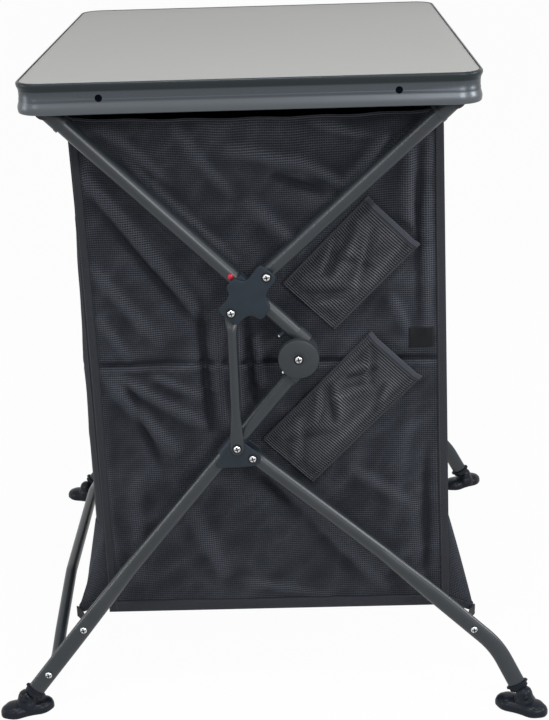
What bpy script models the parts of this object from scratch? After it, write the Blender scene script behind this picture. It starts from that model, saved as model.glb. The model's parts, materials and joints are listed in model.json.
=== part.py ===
"""A fabric camp kitchen cupboard: a mesh box hung in a folding tube frame, under a lift-off table top.

Metres, +Z up. X runs along the table, Y from the front (-Y, with the roll-up door) to the back.
The origin is on the floor, under the middle of the table. The two end frames lie in planes
square to X and mirror each other; "near" is the end at -X and "far" the end at +X.
"""

import math

import bmesh
import bpy
from mathutils import Matrix, Vector
from mathutils.geometry import convex_hull_2d

# The whole cupboard
table_length = 0.600
table_depth = 0.500
table_height = 0.776
clearance = 0.0003
overrun = 0.002
round_sides = 16
curve_steps = 4

# Table top: a thin board in a rolled rim, on clips
rim_height = 0.034
rim_wall = 0.0025
rim_hollow = 0.002
rim_bead = 0.005
rim_ledge = 0.012
rim_ledge_thickness = 0.0016
rim_corner_radius = 0.028
rim_hole_radius = 0.004
rim_hole_depth = 0.0012
rim_hole_spread = 0.318
board_thickness = 0.010
board_reveal = 0.0005
clip_length = 0.022
clip_wall = 0.003
clip_spread = 0.300
clip_grip = 0.0142

# Tubes and the plane in which each end frame works
tube_radius = 0.008
tube_wall = 0.0012
frame_inset = 0.028
rail_spread = 0.443
rail_drop = 0.0315

# Hub that slides on the main tube, and the elbow below it
hub_back = 0.008
hub_height = 0.533
hub_pivot_reach = 0.029
hub_rim_reach = 0.041
hub_waist = 0.019
hub_nose_reach = 0.029
hub_lobe_spread = math.radians(25)
hub_plate = 0.004
hub_back_plate = 0.0034
hub_sleeve = 0.0110
hub_sleeve_length = 0.044
elbow_front = 0.0461
elbow_height = 0.4544
elbow_radius = 0.0235
elbow_barrel = 0.014
elbow_disc = 0.009
socket_radius = 0.0110
socket_length = 0.030
socket_web = 0.0075
socket_floor = 0.004
main_socket_start = 0.006
leg_socket_start = 0.016

# Legs, their bracket and the link that ties the bracket to the hub
leg_slope = math.radians(50.7)
leg_offset = 0.0094
bracket_along = 0.1325
bracket_plate = 0.0025
bracket_sleeve = 0.0105
bracket_tail = 0.030
bracket_head = 0.012
bracket_edge = 0.0095
link_pivot_offset = 0.0032
leg_pivot_offset = 0.0261
link_plate = 0.003
link_tube_radius = 0.0055
link_end_radius = 0.0078
link_flat_top = 0.020
link_flat_bottom = 0.040
leg_knee_along = 0.345
front_knee_along = 0.200
leg_splay = 0.028
leg_wide_radius = 0.0105
leg_thin_radius = 0.0058
leg_swage_share = 0.62
leg_toe = 0.003
front_foot_front = 0.305
front_bend_front = 0.279
front_bend_height = 0.078
front_bend_reach = 0.022
stretcher_radius = 0.0073
stretcher_along = 0.500
stretcher_rise = 0.036
stretcher_bend_share = 0.42
stretcher_shoulder_share = 0.80
stretcher_end = 0.018
stretcher_seat = 0.0016

# Feet
foot_pivot_height = 0.026
foot_reach = 0.307
foot_length = 0.062
foot_width = 0.029
foot_thickness = 0.0125
foot_turn = math.radians(22)
foot_collar_length = 0.024
foot_collar_height = 0.037
foot_ear = 0.0042
foot_slack = 0.0028

# Pins, rivets and the snap button
pin_radius = 0.003
pin_head_radius = 0.0052
pin_head = 0.0024
foot_pin_radius = 0.0025
button_radius = 0.0032
button_proud = 0.0030
button_along = 0.028
button_depth = 0.006

# Corner fittings at the tops of the tubes
corner_radius = 0.0105
corner_length = 0.026
corner_cap = 0.005
corner_arm = 0.019

# Fabric box
cloth = 0.0012
box_gap = 0.0184
box_depth = 0.405
box_bottom = 0.107
box_drop = 0.043
hem_fold_drop = 0.018
floor_height = 0.127
floor_thickness = 0.006
shelf_height = 0.430
shelf_thickness = 0.004
shelf_inset = 0.0045
crease_depth = 0.0028
panel_columns = 12
panel_rows = 16
door_margin = 0.0321
door_drop = 0.035
door_bottom = 0.250
door_lap = 0.008
skirt_bottom = 0.098
skirt_draw = 0.030
skirt_columns = 4
front_skirt_top = 0.240
front_skirt_flare = 0.0555
back_skirt_top = 0.224
back_skirt_flare = 0.0355
zip_pull_width = 0.0045
zip_pull_length = 0.018
zip_pull_thickness = 0.0025

# Pockets on the near end
pocket_width = 0.083
pocket_depth = 0.009
pocket_seam = 0.0015
pocket_slope = math.radians(-45.6)
upper_pocket_length = 0.140
upper_pocket_front = 0.1572
upper_pocket_height = 0.6040
lower_pocket_length = 0.186
lower_pocket_front = 0.1605
lower_pocket_height = 0.4430

# Places that follow from the sizes above
X = Vector((1, 0, 0))
Y = Vector((0, 1, 0))
Z = Vector((0, 0, 1))
ends = {"near": -1, "far": 1}
frame_x = table_length / 2 - frame_inset
rail_height = table_height - rail_drop
board_bottom = table_height - board_reveal - board_thickness
box_length = 2 * (frame_x - tube_radius - box_gap)
box_top = table_height - box_drop
hem_fold_height = box_top - hem_fold_drop
door_width = box_length - 2 * door_margin
door_top = box_top - door_drop
front_skirt_reach = box_depth / 2 + front_skirt_flare
back_skirt_reach = box_depth / 2 + back_skirt_flare


def slanted(angle):
    """The direction in the end frame's plane at this angle from +Y."""
    return Vector((0, math.cos(angle), math.sin(angle)))


def square_to(direction):
    """The same direction turned a quarter turn up and over, in the end frame's plane."""
    return Vector((0, -direction.z, direction.y))


back_rail = Vector((0, rail_spread / 2, rail_height))
front_rail = Vector((0, -rail_spread / 2, rail_height))
hub = Vector((0, hub_back, hub_height))
elbow = Vector((0, -elbow_front, elbow_height))
main_way = (back_rail - hub).normalized()
main_side = square_to(main_way)
main_foot = hub + main_way * (elbow - hub).dot(main_way)
front_pivot = hub + main_side * hub_pivot_reach
link_pivot = hub - main_side * hub_pivot_reach
front_way = (front_rail - front_pivot).normalized()
leg_way = slanted(-leg_slope)
leg_side = -square_to(leg_way)
leg_foot = elbow + leg_side * leg_offset
bracket = leg_foot + leg_way * bracket_along
link_end = bracket + leg_side * link_pivot_offset
leg_pivot = bracket + leg_side * leg_pivot_offset
back_foot = leg_foot + leg_way * ((leg_foot.z - foot_pivot_height) / -leg_way.z)
front_foot = Vector((0, -front_foot_front, foot_pivot_height))
front_bend = Vector((0, -front_bend_front, front_bend_height))

# Layers across the end frame, from the box outwards
tube_outside = frame_x + tube_radius
bracket_inside = tube_outside + clearance
bracket_outside = bracket_inside + bracket_plate
link_inside = bracket_outside + clearance
link_outside = link_inside + link_plate
hub_inside = link_outside + clearance
hub_outside = hub_inside + hub_plate
back_plate_outside = frame_x - tube_radius - clearance
link_centre = tube_outside + clearance + link_tube_radius
disc_inside = tube_outside + clearance
disc_outside = disc_inside + elbow_disc
foot_x = frame_x + leg_splay

materials = {}
places = {}


def material(name, colour, roughness, metallic=0.0):
    made = bpy.data.materials.new(name)
    made.use_nodes = True
    surface = made.node_tree.nodes["Principled BSDF"]
    surface.inputs["Base Color"].default_value = (*colour, 1.0)
    surface.inputs["Roughness"].default_value = roughness
    surface.inputs["Metallic"].default_value = metallic
    materials[name] = made


def carrier(name, place, parent=None):
    """An empty on a joint's axis, which carries the pieces that move with it."""
    empty = bpy.data.objects.new(name, None)
    empty.location = place
    if parent:
        empty.parent = bpy.data.objects[parent]
        empty.location = place - places[parent]
    bpy.context.scene.collection.objects.link(empty)
    places[name] = place.copy()


def solid_object(name, shape, origin):
    """Turns a bmesh in world places into an object with its origin at the given place."""
    if all(edge.is_manifold for edge in shape.edges):
        bmesh.ops.recalc_face_normals(shape, faces=shape.faces)
    bmesh.ops.translate(shape, verts=shape.verts, vec=-origin)
    mesh = bpy.data.meshes.new(name)
    shape.to_mesh(mesh)
    shape.free()
    made = bpy.data.objects.new(name, mesh)
    bpy.context.scene.collection.objects.link(made)
    return made


def piece(name, shape, on, look):
    """A named piece, hung on its carrier's empty."""
    made = solid_object(name, shape, places[on])
    made.parent = bpy.data.objects[on]
    made.data.materials.append(materials[look])
    made.data.shade_smooth()
    made.data.set_sharp_from_angle(angle=math.radians(35))
    return made


def boolean(target, shape, name, operation):
    tool = solid_object(target.name + "_" + name, shape, Vector())
    tool.hide_render = True
    tool.display_type = "WIRE"
    change = target.modifiers.new(name, "BOOLEAN")
    change.operation = operation
    change.object = tool


def cut(target, shape, name):
    boolean(target, shape, name, "DIFFERENCE")


def join(target, shape, name):
    boolean(target, shape, name, "UNION")


def thicken(target, wall):
    """Gives an open sheet or tube its wall, inwards from its modelled face."""
    change = target.modifiers.new("wall", "SOLIDIFY")
    change.thickness = wall
    change.offset = -1
    change.use_even_offset = True


def at(x, place):
    """A place in the end frame's plane, moved out to this X."""
    return Vector((x, place.y, place.z))


def rod(start, end, radius, sides=round_sides):
    shape = bmesh.new()
    way = end - start
    turn = way.to_track_quat("Z", "Y").to_matrix().to_4x4()
    middle = Matrix.Translation((start + end) / 2)
    bmesh.ops.create_cone(
        shape, cap_ends=True, segments=sides, radius1=radius, radius2=radius, depth=way.length, matrix=middle @ turn
    )
    return shape


def cross_rod(place, side, inner, outer, radius):
    """A rod along X at this place in the end frame."""
    return rod(at(side * inner, place), at(side * outer, place), radius)


def prism(outline, way):
    """An outline of places, extruded along a way."""
    shape = bmesh.new()
    face = shape.faces.new([shape.verts.new(place) for place in outline])
    pushed = bmesh.ops.extrude_face_region(shape, geom=[face])["geom"]
    bmesh.ops.translate(shape, verts=[v for v in pushed if isinstance(v, bmesh.types.BMVert)], vec=way)
    return shape


def plate(outline, side, inner, outer):
    """An outline in the end frame's plane, as a plate between two distances from the middle."""
    return prism([at(side * inner, place) for place in outline], X * side * (outer - inner))


def bar(start, end, half_width, side, inner, outer):
    """A straight-sided block along a line in the end frame's plane."""
    across = square_to((end - start).normalized()) * half_width
    return plate([start - across, end - across, end + across, start + across], side, inner, outer)


def box(low, high):
    outline = [Vector((x, y, low[2])) for x, y in
               ((low[0], low[1]), (high[0], low[1]), (high[0], high[1]), (low[0], high[1]))]
    return prism(outline, Z * (high[2] - low[2]))


def arc(centre, radius, start, end, steps):
    """Points of an arc, as pairs of two flat coordinates."""
    turns = [start + (end - start) * step / steps for step in range(steps + 1)]
    return [(centre[0] + radius * math.cos(turn), centre[1] + radius * math.sin(turn)) for turn in turns]


def round_hull(discs):
    """The tight outline round a few discs, given as flat centres and radii."""
    points = [Vector(point) for centre, radius in discs
              for point in arc(centre, radius, 0, 2 * math.pi * (1 - 1 / round_sides), round_sides - 1)]
    return [points[index] for index in convex_hull_2d(points)]


def frame_hull(discs):
    """A round hull in the end frame's plane."""
    flat = round_hull([((centre.y, centre.z), radius) for centre, radius in discs])
    return [Vector((0, point[0], point[1])) for point in flat]


def bent(path, reach):
    """A path with each inner corner rounded off over a reach on both sides."""
    made = [path[0]]
    for before, corner, after in zip(path, path[1:], path[2:]):
        start = corner + (before - corner).normalized() * reach
        end = corner + (after - corner).normalized() * reach
        for step in range(curve_steps + 1):
            share = step / curve_steps
            made.append(start.lerp(corner, share).lerp(corner.lerp(end, share), share))
    return made + [path[-1]]


def swept(path, radii, across=X):
    """An open tube along a path. Each ring has its own two radii: square to across, and along it."""
    shape = bmesh.new()
    rings = []
    for index, place in enumerate(path):
        way = (path[min(index + 1, len(path) - 1)] - path[max(index - 1, 0)]).normalized()
        side = (across - way * across.dot(way)).normalized()
        over = way.cross(side)
        first, second = radii[index]
        turns = [2 * math.pi * step / round_sides for step in range(round_sides)]
        rings.append([shape.verts.new(place + over * first * math.cos(turn) + side * second * math.sin(turn))
                      for turn in turns])
    for ring, following in zip(rings, rings[1:]):
        for step in range(round_sides):
            after = (step + 1) % round_sides
            shape.faces.new((ring[step], following[step], following[after], ring[after]))
    return shape


def straight_tube(name, start, end, radius, on, look, across=X):
    made = piece(name, swept([start, end], [(radius, radius)] * 2, across), on, look)
    thicken(made, tube_wall)
    return made


def sheet(rows, skip=()):
    """A sheet through rows of places, bottom row first and each row from right to left as seen from inside.

    Faces whose row and column are in skip are left out.
    """
    shape = bmesh.new()
    grid = [[shape.verts.new(place) for place in row] for row in rows]
    for row in range(len(grid) - 1):
        for column in range(len(grid[0]) - 1):
            if (row, column) not in skip:
                shape.faces.new((grid[row][column], grid[row][column + 1],
                                 grid[row + 1][column + 1], grid[row + 1][column]))
    return shape


def make_materials():
    material("frame_metal", (0.16, 0.17, 0.18), 0.38, 0.7)
    material("dark_plastic", (0.045, 0.055, 0.065), 0.45)
    material("foot_plastic", (0.012, 0.015, 0.022), 0.25)
    material("screw_zinc", (0.75, 0.76, 0.78), 0.25, 1.0)
    material("button_red", (0.62, 0.02, 0.05), 0.35)
    material("rim_metal", (0.17, 0.18, 0.19), 0.32, 0.8)
    material("board_laminate", (0.44, 0.44, 0.43), 0.55)
    material("mesh_cloth", (0.018, 0.020, 0.023), 0.8)
    material("hem_cloth", (0.06, 0.06, 0.065), 0.8)
    material("board_cloth", (0.02, 0.02, 0.023), 0.85)


def make_carriers():
    carrier("cabinet", Vector())
    carrier("back_legs_axis", elbow, "cabinet")
    carrier("hubs_guide", hub, "cabinet")
    carrier("links_axis", link_pivot, "hubs_guide")
    carrier("front_top_axis", front_pivot, "hubs_guide")
    carrier("table_guide", Vector((0, 0, board_bottom)), "cabinet")
    carrier("door_axis", Vector((0, door_plane(), door_top)), "cabinet")
    for end, side in ends.items():
        carrier("front_leg_" + end + "_axis", at(side * frame_x, leg_pivot), "back_legs_axis")
        carrier("back_foot_" + end + "_axis", at(side * foot_x, back_foot), "back_legs_axis")
        carrier("front_foot_" + end + "_axis", at(side * foot_x, front_foot), "front_leg_" + end + "_axis")
        carrier("lock_button_" + end + "_guide", at(side * tube_outside, button_place()), "cabinet")
        carrier("zip_" + end + "_guide", zip_place(side), "cabinet")


def door_plane():
    """Y of the door sheet's middle, just in front of the surround."""
    return -box_depth / 2 - clearance - cloth / 2


def button_place():
    return hub + main_way * button_along


def zip_place(side):
    edge = door_width / 2 + clearance + zip_pull_width / 2
    return Vector((side * edge, -box_depth / 2 - clearance - zip_pull_thickness / 2, door_bottom + zip_pull_length))


def screw(name, place, side, inner, outer, on):
    """A screw along X: a shank from inner to outer, under a wider head."""
    made = piece(name, cross_rod(place, side, inner, outer + pin_head / 2, pin_radius), on, "screw_zinc")
    join(made, cross_rod(place, side, outer + clearance, outer + clearance + pin_head, pin_head_radius), "head")


def rounded_loop(length, depth, radius):
    """Corner points of a rounded rectangle, anticlockwise, as flat pairs."""
    x, y = length / 2 - radius, depth / 2 - radius
    loop = []
    for quarter, (cx, cy) in enumerate(((x, y), (-x, y), (-x, -y), (x, -y))):
        loop += arc((cx, cy), radius, quarter * math.pi / 2, (quarter + 1) * math.pi / 2, curve_steps)
    return loop


def make_table():
    """The board in its rim, and the clips that sit over the two top rails."""
    inset = rim_wall + clearance
    outline = rounded_loop(table_length - 2 * inset, table_depth - 2 * inset, rim_corner_radius - inset)
    top = table_height - board_reveal
    piece("table_board", prism([Vector((x, y, board_bottom)) for x, y in outline], Z * (top - board_bottom)),
          "table_guide", "board_laminate")

    low = table_height - rim_height
    ledge = board_bottom - clearance
    inner = rim_wall + rim_hollow
    profile = [
        (rim_bead / 4, table_height), (0, table_height - rim_bead / 4), (0, table_height - rim_bead),
        (rim_hollow, table_height - 2 * rim_bead), (rim_hollow, low + 2 * rim_bead),
        (0, low + rim_bead), (0, low + rim_bead / 4), (rim_bead / 4, low),
        (inner, low), (inner, ledge - rim_ledge_thickness), (rim_ledge, ledge - rim_ledge_thickness),
        (rim_ledge, ledge), (rim_wall, ledge), (rim_wall, table_height),
    ]
    shape = bmesh.new()
    rings = []
    for offset, height in profile:
        loop = rounded_loop(table_length - 2 * offset, table_depth - 2 * offset, rim_corner_radius - offset)
        rings.append([shape.verts.new((x, y, height)) for x, y in loop])
    for ring, following in zip(rings, rings[1:] + rings[:1]):
        for step in range(len(ring)):
            after = (step + 1) % len(ring)
            shape.faces.new((ring[step], ring[after], following[after], following[step]))
    rim = piece("table_rim", shape, "table_guide", "rim_metal")
    face = table_length / 2 - rim_hollow
    for end, side in ends.items():
        for hand in (-1, 1):
            hole = Vector((0, hand * rim_hole_spread / 2, table_height - rim_height / 2))
            drill = cross_rod(hole, side, face - rim_hole_depth, face + rim_hollow + overrun, rim_hole_radius)
            cut(rim, drill, "hole_" + end + ("_front" if hand < 0 else "_back"))

    top = board_bottom - clearance
    saddle = rail_height + tube_radius + clearance
    reach = tube_radius + clearance
    for rail, place, inner_leg in (("front", front_rail, False), ("back", back_rail, True)):
        out = -1 if rail == "front" else 1
        foot = saddle - clip_grip
        outline = [(out * (reach + clip_wall), top), (out * (reach + clip_wall), foot), (out * reach, foot),
                   (out * reach, saddle), (-out * reach, saddle)]
        if inner_leg:
            outline += [(-out * reach, foot), (-out * (reach + clip_wall), foot)]
        else:
            outline += [(-out * (reach + clip_wall), saddle)]
        outline += [(-out * (reach + clip_wall), top)]
        for end, side in ends.items():
            inner = clip_spread / 2 - clip_length / 2
            points = [Vector((0, place.y + y, z)) for y, z in outline]
            piece("table_clip_" + rail + "_" + end, plate(points, side, inner, inner + clip_length),
                  "table_guide", "dark_plastic")


def corner_fitting(name, corner, way, side, on):
    """The cap that takes the top of a frame tube and the end of the rail along X."""
    start = corner - way * corner_length
    made = piece(name, rod(at(side * frame_x, start), at(side * frame_x, corner + way * corner_cap), corner_radius),
                 on, "dark_plastic")
    arm = frame_x - corner_arm
    join(made, cross_rod(corner, side, arm, frame_x, corner_radius), "arm")
    bore = tube_radius + clearance
    cut(made, rod(at(side * frame_x, start - way * overrun), at(side * frame_x, corner + way * clearance), bore),
        "tube_bore")
    cut(made, cross_rod(corner, side, arm - overrun, frame_x - tube_radius, bore), "rail_bore")


def top_rail(name, corner, on):
    end = frame_x - tube_radius - 2 * clearance
    straight_tube(name, at(-end, corner), at(end, corner), tube_radius, on, "frame_metal", across=Y)


def make_upper_frame():
    """The main tubes with the back rail, which the whole cupboard hangs on, and the front tubes."""
    top_rail("back_top_rail", back_rail, "cabinet")
    top_rail("front_top_rail", front_rail, "front_top_axis")
    for end, side in ends.items():
        start = main_foot + main_way * (main_socket_start + socket_floor)
        tube = straight_tube("upper_main_tube_" + end, at(side * frame_x, start), at(side * frame_x, back_rail),
                             tube_radius, "cabinet", "frame_metal")
        cut(tube, cross_rod(button_place(), side, frame_x, tube_outside + overrun, button_radius + clearance),
            "button_hole")
        corner_fitting("back_corner_" + end, back_rail, main_way, side, "cabinet")

        tube = straight_tube("upper_front_tube_" + end, at(side * frame_x, front_pivot),
                             at(side * frame_x, front_rail), tube_radius, "front_top_axis", "frame_metal")
        pivot_eye(tube, front_pivot, side)
        corner_fitting("front_corner_" + end, front_rail, front_way, side, "front_top_axis")


def pivot_eye(tube, place, side):
    """The plugged, rounded end of a tube, bored for its pivot pin."""
    low, high = frame_x - tube_radius, frame_x + tube_radius
    join(tube, cross_rod(place, side, low, high, tube_radius), "eye")
    cut(tube, cross_rod(place, side, low - overrun, high + overrun, pin_radius + clearance), "eye_bore")


def hub_outline():
    """Four soft lobes: one to each pivot, and a shorter nose each way along the main tube."""
    lobes = ((0, hub_nose_reach), (math.pi / 2, hub_rim_reach), (math.pi, hub_nose_reach),
             (-math.pi / 2, hub_rim_reach))
    outline = []
    for step in range(3 * round_sides):
        turn = 2 * math.pi * step / (3 * round_sides)
        reach = hub_waist
        for lobe, lobe_reach in lobes:
            off = (turn - lobe + math.pi) % (2 * math.pi) - math.pi
            reach += (lobe_reach - hub_waist) * math.exp(-((off / hub_lobe_spread) ** 2))
        outline.append(hub + main_way * reach * math.cos(turn) + main_side * reach * math.sin(turn))
    return outline


def make_hubs():
    """The star hubs, their front-tube pivot pins and the snap buttons that lock them."""
    sleeve_inner = back_plate_outside - hub_back_plate
    half = main_way * hub_sleeve_length / 2
    for end, side in ends.items():
        body = piece("star_hub_" + end, plate(hub_outline(), side, hub_inside, hub_outside),
                     "hubs_guide", "dark_plastic")
        join(body, bar(hub - half, hub + half, hub_sleeve, side, sleeve_inner, hub_inside + hub_plate / 2), "sleeve")
        join(body, plate(hub_outline(), side, sleeve_inner, back_plate_outside), "back_plate")
        reach = main_way * hub_sleeve_length
        cut(body, rod(at(side * frame_x, hub - reach), at(side * frame_x, hub + reach), tube_radius + clearance),
            "tube_bore")
        cut(body, bar(hub - reach, hub + reach, button_radius + clearance, side, frame_x + tube_radius / 2,
                      tube_outside + button_proud + clearance), "button_groove")
        bore = pin_radius + clearance
        cut(body, cross_rod(front_pivot, side, sleeve_inner - overrun, hub_outside + overrun, bore), "front_bore")
        cut(body, cross_rod(link_pivot, side, hub_inside - overrun, hub_outside + overrun, bore), "link_bore")
        screw("hub_pivot_pin_" + end, front_pivot, side, sleeve_inner, hub_outside, "hubs_guide")
        piece("lock_button_" + end,
              cross_rod(button_place(), side, tube_outside - button_depth, tube_outside + button_proud,
                        button_radius), "lock_button_" + end + "_guide", "button_red")


def make_elbows():
    """Inner halves on the main tubes, outer halves with the cover discs on the back legs, and their pins."""
    bore = tube_radius + clearance
    barrel_inside = frame_x - socket_radius
    for end, side in ends.items():
        inner = piece("elbow_inner_" + end, cross_rod(elbow, side, barrel_inside, tube_outside, elbow_barrel),
                      "cabinet", "dark_plastic")
        start = main_foot + main_way * main_socket_start
        stop = start + main_way * socket_length
        join(inner, rod(at(side * frame_x, start), at(side * frame_x, stop), socket_radius), "socket")
        join(inner, bar(elbow, elbow + (start - elbow) + main_way * socket_radius, socket_radius / 2, side,
                        barrel_inside + rim_wall, tube_outside - rim_wall), "web")
        floor = start + main_way * (socket_floor - clearance)
        cut(inner, rod(at(side * frame_x, floor), at(side * frame_x, stop + main_way * overrun), bore), "tube_bore")
        cover = tube_outside + socket_radius
        cut(inner, cross_rod(main_foot, side, tube_outside, cover, 2 * socket_length), "flat")
        cut(inner, cross_rod(elbow, side, barrel_inside - overrun, cover, pin_radius + clearance), "pin_bore")

        outer = piece("elbow_outer_" + end, cross_rod(elbow, side, disc_inside, disc_outside, elbow_radius),
                      "back_legs_axis", "dark_plastic")
        start = leg_foot + leg_way * leg_socket_start
        stop = start + leg_way * socket_length
        join(outer, rod(at(side * frame_x, start), at(side * frame_x, stop), socket_radius), "socket")
        join(outer, bar(start + leg_way * overrun, stop - leg_way * overrun, socket_web, side, frame_x,
                        disc_inside + elbow_disc / 2), "web")
        floor = start + leg_way * (socket_floor - clearance)
        cut(outer, rod(at(side * frame_x, floor), at(side * frame_x, stop + leg_way * overrun), bore), "tube_bore")
        cut(outer, cross_rod(elbow, side, disc_inside - overrun, disc_outside + overrun, pin_radius + clearance),
            "pin_bore")
        screw("elbow_pin_" + end, elbow, side, barrel_inside, disc_outside, "cabinet")


def leg_radii(path, swage_start, swage_end):
    """Round at the top, pressed to an upright oval towards the foot."""
    run = [0.0]
    for before, after in zip(path, path[1:]):
        run.append(run[-1] + (after - before).length)
    radii = []
    for done in run:
        share = min(1.0, max(0.0, (done - swage_start) / (swage_end - swage_start)))
        radii.append((tube_radius + (leg_wide_radius - tube_radius) * share,
                      tube_radius + (leg_thin_radius - tube_radius) * share))
    return radii


def make_back_legs():
    """The back legs with their brackets and leg pivot pins, and the arched stretcher low between them."""
    for end, side in ends.items():
        start = leg_foot + leg_way * (leg_socket_start + socket_floor)
        knee = leg_foot + leg_way * leg_knee_along
        toe = at(side * foot_x, back_foot + leg_way * leg_toe)
        path = bent([at(side * frame_x, start), at(side * frame_x, knee), toe], tube_radius)
        path.insert(-1, path[-2].lerp(toe, leg_swage_share))
        straight = (knee - start).length
        full = straight + (toe - at(side * frame_x, knee)).length
        radii = leg_radii(path, straight, straight + (full - straight) * leg_swage_share)
        leg = piece("back_leg_tube_" + end, swept(path, radii), "back_legs_axis", "frame_metal")
        thicken(leg, tube_wall)
        cut(leg, cross_rod(back_foot, side, foot_x - tube_radius, foot_x + tube_radius, foot_pin_radius + clearance),
            "foot_bore")

        inside = back_plate_outside - bracket_plate
        outline = frame_hull([(link_end, bracket_edge), (leg_pivot, bracket_edge),
                              (bracket + leg_way * bracket_tail, bracket_edge / 2)])
        body = piece("leg_bracket_" + end, plate(outline, side, bracket_inside, bracket_outside),
                     "back_legs_axis", "dark_plastic")
        join(body, plate(outline, side, inside, back_plate_outside), "back_plate")
        join(body, bar(bracket - leg_way * bracket_head, bracket + leg_way * (bracket_tail - bracket_edge),
                       bracket_sleeve, side, inside, bracket_outside), "sleeve")
        reach = leg_way * (bracket_tail + bracket_head)
        bore = rod(at(side * frame_x, bracket - reach), at(side * frame_x, bracket + reach), tube_radius + clearance)
        cut(body, bore, "tube_bore")
        eye = leg_pivot - leg_side * clearance
        cut(body, cross_rod(eye, side, frame_x - tube_radius - clearance, tube_outside + clearance,
                            tube_radius + 2 * clearance), "eye_room")
        cut(body, cross_rod(leg_pivot, side, inside - overrun, bracket_outside + overrun, pin_radius + clearance),
            "leg_bore")
        screw("leg_pivot_pin_" + end, leg_pivot, side, inside, bracket_outside, "back_legs_axis")

    place = leg_foot + leg_way * stretcher_along
    share = (stretcher_along - leg_knee_along) / ((back_foot - leg_foot).length - leg_knee_along)
    stop = frame_x + leg_splay * share - leg_thin_radius - stretcher_seat
    half_path = [(stop, 0), (stop - stretcher_end, 0), (stop * stretcher_shoulder_share, stretcher_rise / 3),
                 (stop * stretcher_bend_share, stretcher_rise)]
    corners = [at(-x, place) + Z * rise for x, rise in half_path]
    corners += [at(x, place) + Z * rise for x, rise in half_path[::-1]]
    path = bent(corners, stretcher_radius)
    bar_shape = swept(path, [(stretcher_radius, stretcher_radius)] * len(path), across=Y)
    thicken(piece("back_stretcher", bar_shape, "back_legs_axis", "frame_metal"), tube_wall)


def make_front_legs():
    """The front legs, each on its own pivot in the bracket and bent down at the foot."""
    for end, side in ends.items():
        pivot = at(side * frame_x, leg_pivot)
        way = (front_bend - leg_pivot).normalized()
        knee = at(side * frame_x, leg_pivot + way * front_knee_along)
        foot = at(side * foot_x, front_foot)
        slope = (front_bend - leg_pivot).length - front_knee_along
        share = slope / (slope + (front_foot - front_bend).length)
        bend = at(side * (frame_x + leg_splay * share), front_bend)
        toe = foot + (foot - bend).normalized() * leg_toe
        path = [pivot, knee, knee.lerp(bend, leg_swage_share)] + bent([knee, bend, toe], front_bend_reach)[1:]
        radii = leg_radii(path, (knee - pivot).length, (knee - pivot).length + (bend - knee).length * leg_swage_share)
        carried = "front_leg_" + end + "_axis"
        leg = piece("front_leg_tube_" + end, swept(path, radii), carried, "frame_metal")
        thicken(leg, tube_wall)
        pivot_eye(leg, leg_pivot, side)
        cut(leg, cross_rod(front_foot, side, foot_x - tube_radius, foot_x + tube_radius,
                           foot_pin_radius + clearance), "foot_bore")


def make_feet():
    """Four swivel pads, each gripping its leg's flattened end in a slotted collar with a cross pin."""
    slot = leg_thin_radius + foot_slack
    collar = slot + foot_ear
    for end, side in ends.items():
        for row, foot, out in (("back", back_foot, 1), ("front", front_foot, -1)):
            centre = at(side * foot_x, foot)
            middle = out * foot_reach
            reach = (foot_length - foot_width) / 2
            turn = Vector((side * math.sin(foot_turn), out * math.cos(foot_turn), 0)) * reach
            flat = round_hull([((centre.x + turn.x * hand, middle + turn.y * hand), foot_width / 2)
                               for hand in (-1, 1)])
            on = row + "_foot_" + end + "_axis"
            pad = piece(row + "_foot_" + end,
                        prism([Vector((point[0], point[1], 0)) for point in flat], Z * foot_thickness),
                        on, "foot_plastic")
            half = foot_collar_length / 2
            join(pad, box((centre.x - collar, centre.y - half, foot_thickness / 2),
                          (centre.x + collar, centre.y + half, foot_collar_height)), "collar")
            low = foot_pivot_height - leg_wide_radius - leg_toe / 2
            cut(pad, box((centre.x - slot, centre.y - foot_length, low),
                         (centre.x + slot, centre.y + foot_length, foot_collar_height + overrun)), "slot")
            cut(pad, cross_rod(foot, side, foot_x - collar - overrun, foot_x + collar + overrun,
                               foot_pin_radius + clearance), "pin_bore")
            piece(row + "_foot_pin_" + end, cross_rod(foot, side, foot_x - collar, foot_x + collar,
                                                      foot_pin_radius), on, "screw_zinc")


def make_links():
    """The link tubes, pressed flat at both ends and riveted at the hub. The bracket end is the open pivot."""
    way = (link_end - link_pivot).normalized()
    middle = (link_inside + link_outside) / 2
    for end, side in ends.items():
        body = piece("link_bar_" + end, bar(link_pivot, link_end, link_tube_radius, side, link_inside, link_outside),
                     "links_axis", "frame_metal")
        for name, place in (("top_end", link_pivot), ("bottom_end", link_end)):
            join(body, cross_rod(place, side, link_inside, link_outside, link_end_radius), name)
        join(body, rod(at(side * link_centre, link_pivot + way * link_flat_top),
                       at(side * link_centre, link_end - way * link_flat_bottom), link_tube_radius), "round")
        join(body, cross_rod(link_pivot, side, middle, hub_outside + pin_head / 2, pin_radius), "top_rivet")
        join(body, cross_rod(link_pivot, side, hub_outside + clearance, hub_outside + clearance + pin_head,
                             pin_head_radius), "top_head")
        join(body, cross_rod(link_end, side, middle, link_outside + pin_head, pin_head_radius), "bottom_head")


def crease(y, z):
    """How far the end panel is drawn in by the folds that fan out from its back top corner."""
    corner_y, corner_z = box_depth / 2, box_top
    away = math.hypot(y - corner_y, z - corner_z)
    turn = math.atan2(corner_z - z, corner_y - y)
    fan = sum(math.exp(-(((turn - fold) / math.radians(3.5)) ** 2)) for fold in map(math.radians, (38, 52, 66)))
    fade = math.sin(math.pi * min(1.0, away / (box_top - box_bottom)))
    edge_share = min(1.0, 4 * (1 - abs(y) / (box_depth / 2)))
    return crease_depth * fan * fade * edge_share


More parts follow.
